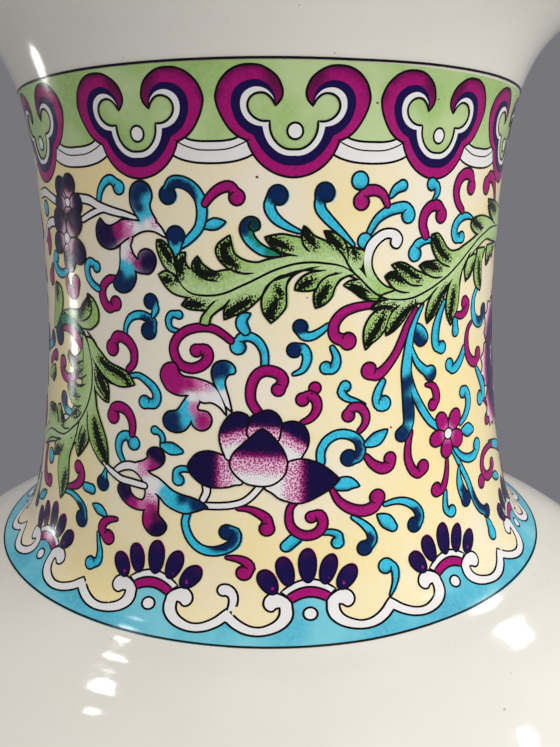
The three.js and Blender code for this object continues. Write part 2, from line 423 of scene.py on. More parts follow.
def flat_sheet(loops, spacing):
    """Triangles that fill the first loop, cut along all of them, and which loops hold each."""
    loops = [turned_left(np.asarray(loop, float)) for loop in loops]
    inner = lattice(loops[0], spacing)
    for loop in loops:
        if not len(inner):
            break
        reach = np.min(np.linalg.norm(inner[:, None] - loop[None], axis=2), axis=1)
        inner = inner[reach > spacing * 0.35]
    sides, start = [], 0
    for loop in loops:
        count = len(loop)
        sides += [(start + k, start + (k + 1) % count) for k in range(count)]
        start += count
    corners = [Vector(point) for point in np.vstack(loops + [inner])]
    found = delaunay_2d_cdt(corners, sides, [], 0, 0.0005, False)
    places = np.array([tuple(corner) for corner in found[0]])
    faces = np.array([tuple(face) for face in found[2]])
    if not len(faces):
        return places, faces.reshape(0, 3), []
    centres = places[faces].mean(axis=1)
    kept = winding(centres, loops[0]) > 0
    holds = [winding(centres[kept], loop) > 0 for loop in loops]
    return places, faces[kept], holds


def laid(name, sheets, material, times=1):
    """One piece from flat sheets of (places, faces, paint, ink, lift, under), bent round the neck.

    Each sheet becomes a closed slab, as many times round the neck as given. Paint and ink are a
    colour for each corner of each face."""
    points, faces, normals, paints, inks, flats = [], [], [], [], [], []
    turned_sheets = [(sheet[0] + np.array((k * TURN / times, 0)), *sheet[1:])
                     for k in range(times) for sheet in sheets]
    for places, triangles, paint, ink, lift, under in turned_sheets:
        used, packed = np.unique(triangles, return_inverse=True)
        triangles = packed.reshape(-1, 3)
        places = places[used]
        count, base = len(places), len(points)
        upper, outwards = on_band(places[:, 0], places[:, 1], lift)
        lower, _ = on_band(places[:, 0], places[:, 1], lift - under)
        points += upper.tolist() + lower.tolist()
        flats += [places, places]
        faces += (triangles + base).tolist()
        faces += (triangles[:, ::-1] + base + count).tolist()
        normals += outwards[triangles].reshape(-1, 3).tolist()
        normals += (-outwards[triangles[:, ::-1]]).reshape(-1, 3).tolist()
        paints += paint.reshape(-1, 4).tolist() + paint[:, ::-1].reshape(-1, 4).tolist()
        inks += ink.reshape(-1, 4).tolist() + ink[:, ::-1].reshape(-1, 4).tolist()
        sides = {}
        for number, triangle in enumerate(triangles.tolist()):
            for k in range(3):
                sides[(triangle[k], triangle[(k + 1) % 3])] = (number, k)
        for (a, b), (number, k) in sides.items():
            if (b, a) in sides:
                continue
            faces.append((a + base, a + base + count, b + base + count, b + base))
            edge = upper[b] - upper[a]
            way = np.cross(edge, outwards[a])
            way /= max(np.linalg.norm(way), 1e-12)
            normals += [way.tolist()] * 4
            first, second = paint[number, k].tolist(), paint[number, (k + 1) % 3].tolist()
            paints += [first, first, second, second]
            first, second = ink[number, k].tolist(), ink[number, (k + 1) % 3].tolist()
            inks += [first, first, second, second]
    mesh = bpy.data.meshes.new(name)
    mesh.from_pydata(points, [], faces)
    for label, values in (("paint", paints), ("ink", inks)):
        layer = mesh.attributes.new(label, "FLOAT_COLOR", "CORNER")
        layer.data.foreach_set("color", np.array(values, np.float32).ravel())
    corners = np.zeros(len(mesh.loops), int)
    mesh.loops.foreach_get("vertex_index", corners)
    mesh.uv_layers.new(name="band").data.foreach_set("uv", np.vstack(flats)[corners].ravel())
    mesh.polygons.foreach_set("use_smooth", np.ones(len(faces), bool))
    mesh.normals_split_custom_set(normals)
    mesh.materials.append(material)
    piece = bpy.data.objects.new(name, mesh)
    bpy.context.scene.collection.objects.link(piece)
    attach(piece, "root")
    return piece


def plain(triangles, value):
    return np.tile(np.array(value, float), (len(triangles), 3, 1))


# How the borders are set out: the middles of the half flowers and of the cloud heads, as the
# decorator placed them in front, and evenly round the back.
PITCH = TURN / 12


def set_out(front):
    """Twelve places round the band: those in front as given, the others evenly between."""
    missing = 12 - len(front)
    span = TURN - (front[-1] - front[0])
    return front + [front[-1] + span * (k + 1) / (missing + 1) for k in range(missing)]


flower_places = set_out([-72.2, -45.45, -18.4, 6.44, 32.05, 60.0])
head_places = set_out([-78.3, -49.9, -21.4, 4.5, 30.4, 56.7])


def around(places, function):
    """The points of function(middle, half gap before, half gap after) all round the band."""
    found = []
    for k, middle in enumerate(places):
        before = (middle - places[k - 1]) % TURN / 2
        after = (places[(k + 1) % 12] - middle) % TURN / 2
        found += function(middle, before, after)
    return found


def mirrored(middle, before, after, half, whole):
    """A run across one unit: half of it given from its middle out, for a half gap of whole."""
    left = [(middle - u * before / whole, v) for u, v in half[::-1]]
    right = [(middle + u * after / whole, v) for u, v in half]
    return left + right[1:] if half[0][0] == 0 else left + right


BLUE_EDGE = [(0, 9.2), (1.6, 9), (2.8, 8.4), (3.4, 7.4), (3.4, 6.3), (3.8, 5), (4.8, 4),
             (6.1, 3.2), (7.7, 2.95), (9.3, 3.2), (11.1, 4.1), (12.8, 5.4)]
GREEN_EDGE = [(0, 80.4), (2.6, 81), (5, 82.6), (6.1, 84.2), (7.2, 84.1), (8.7, 83.2),
              (10.6, 82.6), (13.09, 82.4)]


def seam(edge, places, whole):
    """The edge between two coats as one line round the band, from -TURN/2 to TURN/2."""
    line = around(places, lambda m, b, a: mirrored(m, b, a, edge, whole)[:-1])
    line = smooth_line(line + [(line[0][0] + TURN, line[0][1])], 1.2)
    line[:, 0] = (line[:, 0] + TURN / 2) % TURN - TURN / 2
    start = int(np.argmin(line[:-1, 0]))
    line = np.vstack([line[:-1][start:], line[:-1][:start]])
    height = np.interp(TURN / 2, [line[-1, 0], line[0, 0] + TURN], [line[-1, 1], line[0, 1]])
    return np.vstack([[(-TURN / 2, height)], line, [(TURN / 2, height)]])


def level_line(v):
    return np.stack([np.linspace(-TURN / 2, TURN / 2, 262), np.full(262, float(v))], axis=1)


def blend_spots(places, spots):
    """Each place's colour: that of the spots near it, running into each other."""
    centres = np.array([spot[0] for spot in spots], float)
    colours = np.array([spot[1] for spot in spots], float)
    away = np.linalg.norm(places[:, None] - centres[None], axis=2)
    share = 1 / (away + 0.15) ** 4.5
    return (share @ colours) / share.sum(1)[:, None]


def coat(name, node, slot, lower, upper, material, spacing, pools=None):
    """A coat between two edges. Pools are the places where it is thick (1) or thin (0)."""
    loop = np.vstack([lower, upper[::-1]])
    places, triangles, _ = flat_sheet([loop], spacing)
    blank = plain(triangles, (0, 0, 0, 0))
    depth = plain(triangles, (0.5, 0.5, 0.5, 1))
    if pools:
        spots = [((u + turn, v), (share, share, share, 1)) for (u, v), share in pools
                 for turn in (0, TURN / 2, -TURN / 2)]
        depth = blend_spots(places, spots)[triangles]
    piece = laid(name, [(places, triangles, depth, blank, COAT_LIFT, COAT_UNDER)], material)
    bpy.context.view_layer.objects.active = piece
    return place(piece, [node], slot)


def coat_material(name, paint, thin, thick, wash):
    """Enamel over the glaze: thin where the white shows through, thick where the brush lingered."""
    recipe = Recipe(name)
    pooled = recipe.add("ShaderNodeAttribute", attribute_name="paint").outputs["Fac"]
    pooled = recipe.ranged(pooled, 0, 1, -0.16, 0.16)
    cloud = recipe.math("ADD", recipe.noise(wash, 3, 0.55), pooled)
    even = recipe.mixed(recipe.ranged(cloud, 0.36, 0.54), thin, paint)
    deep = recipe.mixed(recipe.ranged(cloud, 0.52, 0.72), even, thick)
    grain = recipe.ranged(recipe.noise(1500, 3), 0.3, 0.75, 0.0, 0.5)
    washed = recipe.mixed(grain, deep, thin)
    gloss = recipe.ranged(recipe.noise(120, 3), 0.3, 0.7, 0.1, 0.2)
    ripple = recipe.bump(recipe.noise(55, 2), 0.0005, 0.35)
    normal = recipe.bump(recipe.noise(900, 3), 0.00002, 0.6, ripple)
    return recipe.finish(Base_Color=washed, Roughness=gloss, Normal=normal, IOR=1.5,
                         Coat_Weight=0.15, Coat_Roughness=0.06)


blue_enamel = coat_material("blue_enamel", colour(77, 180, 203), colour(122, 199, 212),
                            colour(57, 158, 191), 75)
yellow_enamel = coat_material("yellow_enamel", colour(239, 223, 177), colour(236, 227, 207),
                              colour(242, 219, 147), 38)
green_enamel = coat_material("green_enamel", colour(158, 190, 114), colour(187, 206, 150),
                             colour(138, 176, 86), 70)
blue_seam = seam(BLUE_EDGE, flower_places, 12.8)
green_seam = seam(GREEN_EDGE, head_places, 13.09)
blue_coat = coat("blue_coat", "blue_border_enamel", "blue_enamel",
                 level_line(0), blue_seam, blue_enamel, 1.6)
YELLOW_POOLS = [
    ((-52, 77), 1), ((-44, 80), 1), ((-35, 79), 0.9), ((-50, 50), 0.95), ((-48, 41), 1), ((-42, 58), 0.9),
    ((-30, 72), 0.2), ((-32, 61), 0.2), ((-27, 50), 0.15), ((-26, 41), 0.1), ((-18, 57), 0.35),
    ((-13, 45), 0.3), ((-22, 30), 0.2), ((-45, 24), 0.8), ((-33, 10), 0.85), ((-19, 18), 0.8),
    ((-10, 8), 1), ((-2, 9), 1), ((-3, 75), 0.4), ((5, 60), 0.35), ((0, 48), 0.3), ((9, 38), 0.7),
    ((14, 52), 0.75), ((15, 8), 1), ((22, 9), 1), ((14, 73), 0.65), ((22, 78), 0.4), ((8, 29), 0.3),
    ((26, 25), 0.85), ((33, 26), 0.9), ((21, 34), 0.7), ((29, 49), 0.9), ((39, 45), 0.95),
    ((47, 50), 0.85), ((44, 75), 0.8), ((55, 72), 0.9), ((46, 27), 0.6), ((42, 9), 0.6), ((33, 75), 0.4),
]
yellow_coat = coat("yellow_coat", "yellow_field_enamel", "yellow_enamel",
                   blue_seam, green_seam, yellow_enamel, 2.0, YELLOW_POOLS)
green_coat = coat("green_coat", "green_border_enamel", "green_enamel",
                  green_seam, level_line(band_length), green_enamel, 1.6)


# The two lines that close the band: painted in black ink with the vase on a banding wheel, so
# that they waver a little. The ink is fired into the enamel and is a little less glossy.
INK_HALF = 0.185
SAMPLE = 0.45
STEP_UP = 0.03
WHITE = colour(228, 225, 222)
NO_DOTS = (0, 0, 0, 0)


def paint_material():
    """Printed and painted enamel: the colours lie in the mesh, the grain and the dots are here."""
    recipe = Recipe("painted_enamel")
    paint = recipe.add("ShaderNodeAttribute", attribute_name="paint").outputs["Color"]
    ink_node = recipe.add("ShaderNodeAttribute", attribute_name="ink")
    flat = recipe.add("ShaderNodeUVMap", uv_map="band").outputs[0]
    stipple = recipe.add("ShaderNodeTexVoronoi", {"Vector": flat, "Scale": 2.5, "Randomness": 0.85},
                         voronoi_dimensions="2D")
    reach = recipe.math("MULTIPLY", ink_node.outputs["Alpha"], 0.9)
    edge = recipe.math("SUBTRACT", reach, stipple.outputs["Distance"])
    dots = recipe.ranged(edge, -0.06, 0.1)
    dotted = recipe.mixed(dots, paint, ink_node.outputs["Color"])
    grain = recipe.ranged(recipe.noise(2600, 2), 0.3, 0.7, 0.7, 1.3)
    shade = recipe.add("ShaderNodeCombineColor", {0: grain, 1: grain, 2: grain}).outputs[0]
    depth = recipe.add("ShaderNodeSeparateColor", {0: paint}, mode="HSV").outputs[1]
    grained = recipe.mixed(recipe.ranged(depth, 0.1, 0.7, 0.06, 0.7), dotted, shade, "MULTIPLY")
    gloss = recipe.ranged(recipe.noise(500, 3), 0.3, 0.7, 0.12, 0.24)
    normal = recipe.bump(recipe.noise(1300, 3), 0.00003, 0.5)
    return recipe.finish(Base_Color=grained, Roughness=gloss, Normal=normal, IOR=1.5,
                         Specular_IOR_Level=0.3, Coat_Weight=0.06, Coat_Roughness=0.08)


painted = paint_material()


def sides_of(route, half_widths):
    """The left and right edges of a stroke along the route."""
    along = np.gradient(route, axis=0)
    along /= np.maximum(np.linalg.norm(along, axis=1), 1e-9)[:, None]
    left = np.stack([-along[:, 1], along[:, 0]], axis=1) * half_widths[:, None]
    return route + left, route - left, along


def round_end(centre, way, radius):
    """The points of the half circle round an end of a stroke, from its left to its right."""
    if radius < 0.05:
        return [centre]
    count = max(3, math.ceil(math.pi * radius / SAMPLE))
    start = math.atan2(way[1], way[0]) + math.pi / 2
    turns = start - np.linspace(0, math.pi, count + 1)[1:-1]
    return [centre + radius * np.array((math.cos(t), math.sin(t))) for t in turns]


def stroke_loop(route, half_widths):
    left, right, along = sides_of(route, half_widths)
    tip = round_end(route[-1], along[-1], half_widths[-1])
    tail = round_end(route[0], -along[0], half_widths[0])
    return np.vstack([left, *[np.atleast_2d(p) for p in tip], right[::-1],
                      *[np.atleast_2d(p) for p in tail]])


def spread(values, count):
    """The values run smoothly into each other over that many points."""
    line = smooth_line(list(enumerate(values)), 0.1)
    return np.interp(np.linspace(0, len(values) - 1, count), line[:, 0], np.maximum(line[:, 1], 0.03))


def moved(loop, distance):
    """The loop moved outwards by the distance, or inwards if it is negative."""
    loop = turned_left(loop)
    along = np.roll(loop, -1, axis=0) - np.roll(loop, 1, axis=0)
    along /= np.maximum(np.linalg.norm(along, axis=1), 1e-9)[:, None]
    return loop + distance * np.stack([along[:, 1], -along[:, 0]], axis=1)


def ink_line(points, half_width=INK_HALF, level=3, ink=INK, swell=40.0):
    """A line of ink through the points. The lower the swell, the longer its pointed ends."""
    route = smooth_line(points, SAMPLE)
    share = np.linspace(0, 1, len(route))
    halves = half_width * np.minimum(1, 0.3 + swell * np.minimum(share, 1 - share))
    places, faces, _ = flat_sheet([stroke_loop(route, halves)], 3.0)
    return (places, faces, plain(faces, ink), plain(faces, NO_DOTS),
            COAT_LIFT + STEP_UP * (level + 1), STEP_UP * (level + 2))


def closed_curve(runs):
    """A closed outline from smooth runs that meet at corners, or from one round run."""
    if len(runs) == 1:
        points = runs[0]
        wrapped = smooth_line(points[-2:] + points + points[:2], SAMPLE)
        cut = [np.argmin(np.linalg.norm(wrapped - p, axis=1)) for p in (points[0], points[-1])]
        last = len(wrapped) - np.argmin(np.linalg.norm(wrapped[::-1] - points[0], axis=1)) - 1
        return wrapped[cut[0]:last]
    joined = []
    for run, following in zip(runs, runs[1:] + runs[:1]):
        line = smooth_line(run + [following[0]] if run[-1] != following[0] else run, SAMPLE)
        joined.append(line[:-1])
    return np.vstack(joined)


def painted_patch(loop, paint, dots=None, rim=INK, level=0, spacing=1.2, half=INK_HALF):
    """A painted shape with a line of ink round it. Paint and dots are functions of the places."""
    if rim is None:
        places, faces, _ = flat_sheet([loop], spacing)
        inside = np.ones(len(faces), bool)
    else:
        places, faces, holds = flat_sheet([moved(loop, half), moved(loop, -half)], spacing)
        inside = holds[1]
    painting = paint(places)[faces]
    inking = dots(places)[faces] if dots else plain(faces, NO_DOTS)
    if rim is not None:
        painting[~inside] = rim
        inking[~inside] = NO_DOTS
    return (places, faces, painting, inking,
            COAT_LIFT + STEP_UP * (level + 1), STEP_UP * (level + 2))


def flat_paint(value):
    return lambda places: np.tile(np.array(value), (len(places), 1))


def wheel_line(places_v, half_width):
    """A ring of ink round the whole band, closed on itself at the back."""
    u = np.linspace(-TURN / 2, TURN / 2, 361)
    v = np.interp(u, places_v[0], places_v[1], period=TURN)
    edge_up, edge_down = v + half_width, v - half_width
    loop = np.vstack([np.stack([u, edge_down], 1), np.stack([u[::-1], edge_up[::-1]], 1)])
    places, faces, _ = flat_sheet([loop], 5.0)
    return (places, faces, plain(faces, INK), plain(faces, NO_DOTS),
            COAT_LIFT + 2 * STEP_UP, 0.25)


foot_line = ([-120, -55, -45, -31, -10, 14, 21, 28, 36, 45, 50, 62, 100],
             [0.2, 0.1, 0.2, 0.25, 0.2, 0.05, 0.15, 0.2, 0.25, 0.3, 0.3, 0.25, 0.2])
head_line = ([-110, -45, -31, 14, 26, 41, 120], [96.9, 96.75, 96.85, 96.9, 97.1, 97.2, 97.0])
closing_lines = laid("closing_lines", [wheel_line(foot_line, 0.17), wheel_line(head_line, 0.18)],
                     painted)


# The cloud bands: a white ribbon, left in reserve and lined in ink, that runs from one half
# flower to the next along the top of the blue, with a cusp between and a volute at each end.
CLOUD_OUTER = [(2.7, 8.0), (2.6, 6.9), (2.55, 5.9), (2.9, 4.7), (3.9, 3.5), (5.2, 2.7),
               (6.8, 2.2), (8.4, 2.1), (10.1, 2.5), (11.7, 3.4), (12.8, 4.35)]
CLOUD_INNER = [(12.8, 6.6), (12.1, 6.0), (10.9, 4.85), (9.2, 3.85), (7.7, 3.6), (6.4, 4.0),
               (5.2, 4.8), (4.6, 5.8), (4.55, 6.9)]
VOLUTE = [(4.55, 6.9), (5.1, 6.75), (5.6, 6.3), (6.3, 6.35), (6.9, 6.9), (7.1, 7.7), (6.8, 8.6),
          (6.1, 9.2), (5.1, 9.35), (4.1, 9.0), (3.2, 8.4), (2.7, 8.0)]


def fitted(points, middle, side, whole):
    """Half a unit's points put in place: stretched beyond the arch to its half gap."""
    found = []
    for u, v in points:
        beyond = max(0.0, u - 4.5) * (whole - 4.5) / (12.8 - 4.5)
        found.append((middle + side * (min(u, 4.5) + beyond), v))
    return found


def cloud_band(middle, following):
    half = (following - middle) / 2
    parts = [fitted(run, middle, 1, half) for run in (CLOUD_OUTER, CLOUD_INNER, VOLUTE)]
    turned_parts = [fitted(run, following, -1, half) for run in (CLOUD_OUTER, CLOUD_INNER, VOLUTE)]
    runs = [parts[0], turned_parts[0][::-1], turned_parts[2][::-1], turned_parts[1][::-1],
            parts[1], parts[2]]
    return painted_patch(closed_curve(runs), flat_paint(WHITE), level=1, spacing=1.4)


cloud_bands = laid(
    "cloud_bands",
    [cloud_band(m, n) for m, n in zip(flower_places, flower_places[1:] + [flower_places[0] + TURN])],
    painted,
)


# The half flowers: five petals in violet, with a magenta bloom at their tips, stand on a white
# and a magenta arch over a disc left white in the blue.
VIOLET = colour(20, 6, 68)
VIOLET_DARK = colour(12, 3, 30)
MAGENTA = colour(160, 10, 106)
MAGENTA_DARK = colour(84, 8, 58)
ROSE = colour(205, 106, 160)
PETAL_TIP = colour(46, 8, 68)
PETALS = [((0, 10.9), (0, 5.2), 1.45), ((-4.2, 9.6), (-2.9, 4.8), 1.35), ((4.1, 9.6), (2.5, 4.8), 1.35),
          ((-7.4, 7.3), (-5.2, 3.5), 1.4), ((7.6, 7.3), (4.9, 3.7), 1.45)]


def disc_loop(middle, radius, squash=1.0):
    count = max(10, math.ceil(2 * math.pi * radius / SAMPLE))
    turns = np.linspace(0, 2 * math.pi, count, endpoint=False)
    return np.stack([middle[0] + radius * np.cos(turns), middle[1] + radius * squash * np.sin(turns)], 1)


def petal_loop(tip, base, half):
    """A round-ended petal, widest towards its tip."""
    share = (1 - np.cos(np.linspace(0, math.pi, 17))) / 2
    route = np.array(base) + share[:, None] * (np.array(tip) - np.array(base))
    halves = half * np.sqrt(np.clip(1 - ((share - 0.58) / np.where(share < 0.58, 0.58, 0.42)) ** 2, 0, 1))
    left, right, _ = sides_of(route, halves)
    return np.vstack([left, right[::-1][1:-1]])


def arch_loop(middle, low, high, half, sag):
    """An arch between two curves, each as high in the middle as given and lower at its ends."""
    u = np.linspace(-1, 1, 15)
    upper = np.stack([middle + u * half[1], high - sag[1] * u**2], 1)
    lower = np.stack([middle + u * half[0], low - sag[0] * u**2], 1)
    return np.vstack([lower, upper[::-1]])


def half_flower(middle):
    v = 5.7
    sheets = [
        painted_patch(arch_loop(middle, v + 4.5, v + 5.8, (3.5, 4.3), (1.4, 2.0)), flat_paint(WHITE), level=1),
        painted_patch(arch_loop(middle, v + 2.8, v + 4.5, (2.6, 3.5), (0.9, 1.4)), flat_paint(MAGENTA), level=2),
        painted_patch(disc_loop((middle, v), 1.07), flat_paint(WHITE), level=1, spacing=0.8),
    ]
    for tip, base, half in PETALS:
        tip = (middle + tip[0], v + tip[1] + 0.1)
        base = (middle + base[0], v + base[1])
        waist = tuple(np.array(tip) * 0.5 + np.array(base) * 0.5)
        spots = [(tip, PETAL_TIP), (waist, VIOLET), (base, VIOLET)]
        loop = petal_loop(tip, base, half * 0.97)
        sheets.append(painted_patch(loop + np.array((0.16, 0.24)), flat_paint(MAGENTA), rim=None, level=1.7))
        sheets.append(painted_patch(
            loop, lambda places, spots=spots: blend_spots(places, spots), rim=VIOLET_DARK,
            level=2, spacing=0.8, half=0.16,
        ))
    return sheets


half_flowers = laid("half_flowers", sum((half_flower(m) for m in flower_places), []), painted)


# The cloud heads: twelve trefoil scrolls that hang from the upper line, magenta outside, then
# violet and a white edge, each round a green middle with a white disc.
HEAD_OUTER = [(2.85, 0), (2.0, 1.0), (1.8, 2.2), (2.4, 3.8), (3.5, 4.9), (5.0, 5.7), (6.6, 5.9),
              (8.3, 5.7), (9.9, 4.9), (11.2, 3.5), (11.9, 1.8), (11.9, 0.6), (11.3, -1.2),
              (10.1, -3.2), (8.8, -4.4), (7.3, -5.1)]
HEAD_LOWER = [(7.3, -5.1), (6.9, -6.2), (6.0, -7.7), (4.6, -9.1), (2.9, -10.1), (1.2, -10.6),
              (0, -10.7)]
HEAD_MAGENTA = [(2.85, 0), (2.9, 1.4), (3.8, 2.9), (5.2, 3.7), (6.6, 3.75), (8.0, 3.3),
                (9.1, 2.3), (9.6, 0.9), (9.5, -0.6), (8.8, -2.3), (7.6, -3.6), (6.3, -4.3)]
HEAD_MAGENTA_LOW = [(6.3, -4.3), (5.7, -5.4), (4.7, -6.8), (3.2, -8.1), (1.5, -8.8), (0, -8.9)]
HEAD_VIOLET = [(2.85, 0), (3.3, 1.4), (4.3, 2.4), (5.6, 2.75), (6.8, 2.5), (7.8, 1.7),
               (8.2, 0.5), (8.0, -0.9), (7.2, -2.1), (6.0, -2.8), (4.85, -3.0)]
HEAD_VIOLET_LOW = [(4.85, -3.0), (4.6, -4.2), (3.9, -5.6), (2.6, -6.8), (1.2, -7.35), (0, -7.4)]
HEAD_INNER = [(2.85, 0), (3.4, 1.0), (4.4, 1.8), (5.6, 1.85), (6.6, 1.3), (7.1, 0.3),
              (6.9, -0.8), (6.1, -1.7), (5.0, -2.2), (3.75, -2.25)]
HEAD_INNER_LOW = [(3.75, -2.25), (3.7, -3.4), (3.3, -4.6), (2.4, -5.7), (1.2, -6.35), (0, -6.45)]


def both_sides(upper, lower, middle, height):
    """The runs of an outline from the left tip round under to the right tip."""
    left = [[(middle - u, height + v) for u, v in run] for run in (upper, lower)]
    right = [[(middle + u, height + v) for u, v in run][::-1] for run in (lower, upper)]
    return [left[0], left[1] + right[0][1:], right[1]]


def cloud_head(middle):
    height = 90.05
    inner = both_sides(HEAD_INNER, HEAD_INNER_LOW, middle, height)
    back = [run[::-1] for run in inner[::-1]]
    sheets = []
    layers = [(HEAD_OUTER, HEAD_LOWER, MAGENTA, INK), (HEAD_MAGENTA, HEAD_MAGENTA_LOW, VIOLET, None),
              (HEAD_VIOLET, HEAD_VIOLET_LOW, WHITE, None)]
    for level, (upper, lower, paint, rim) in enumerate(layers):
        loop = closed_curve(both_sides(upper, lower, middle, height) + back)
        shade = flat_paint(paint)
        if level == 0:
            top = [((middle + s * u, height + v), MAGENTA_DARK) for s in (-1, 1)
                   for u, v in ((6.6, 6.2), (10.6, 5.2), (12.6, 1.6), (3.0, 5.2))]
            low = [((middle + s * u, height + v), MAGENTA) for s in (-1, 1)
                   for u, v in ((6.4, 4.2), (9.2, 3.0), (10.6, 0.8), (9.6, -3), (6, -6.5), (2, -9.6))]
            shade = lambda places, spots=top + low: blend_spots(places, spots)
        sheets.append(painted_patch(loop, shade, rim=rim, level=level, spacing=1.1))
    for run in inner:
        sheets.append(ink_line(run, level=3))
    sheets.append(painted_patch(disc_loop((middle + 0.2, height - 3.7), 1.24), flat_paint(WHITE),
                                level=1, spacing=0.8))
    return sheets


cloud_heads = laid("cloud_heads", sum((cloud_head(m) for m in head_places), []), painted)


# The swags: a white double band, lined in ink, that hangs from each cloud head to the next.
SWAG_TOP = [(7.7, 86.1), (9.2, 85.3), (11.0, 84.95), (13.09, 84.9)]
SWAG_MIDDLE = [(6.9, 85.2), (8.4, 84.4), (10.6, 83.7), (13.09, 83.55)]
SWAG_FOOT = [(5.6, 83.4), (7.4, 82.4), (9.9, 81.75), (13.09, 81.55)]


def swag(middle, following):
    half = (following - middle) / 2
    runs = []
    for line in (SWAG_TOP, SWAG_MIDDLE, SWAG_FOOT):
        left = [(middle + u * half / 13.09, v) for u, v in line]
        right = [(following - u * half / 13.09, v) for u, v in line[:-1]]
        runs.append(left + right[::-1])
    loop = closed_curve([runs[2], [runs[2][-1], runs[0][-1]], runs[0][::-1], [runs[0][0], runs[2][0]]])
    return [painted_patch(loop, flat_paint(WHITE), level=-0.4, spacing=1.3), ink_line(runs[1], 0.11, 0.2)]


following_heads = head_places[1:] + [head_places[0] + TURN]
swags = laid("swags", sum((swag(m, n) for m, n in zip(head_places, following_heads)), []), painted)


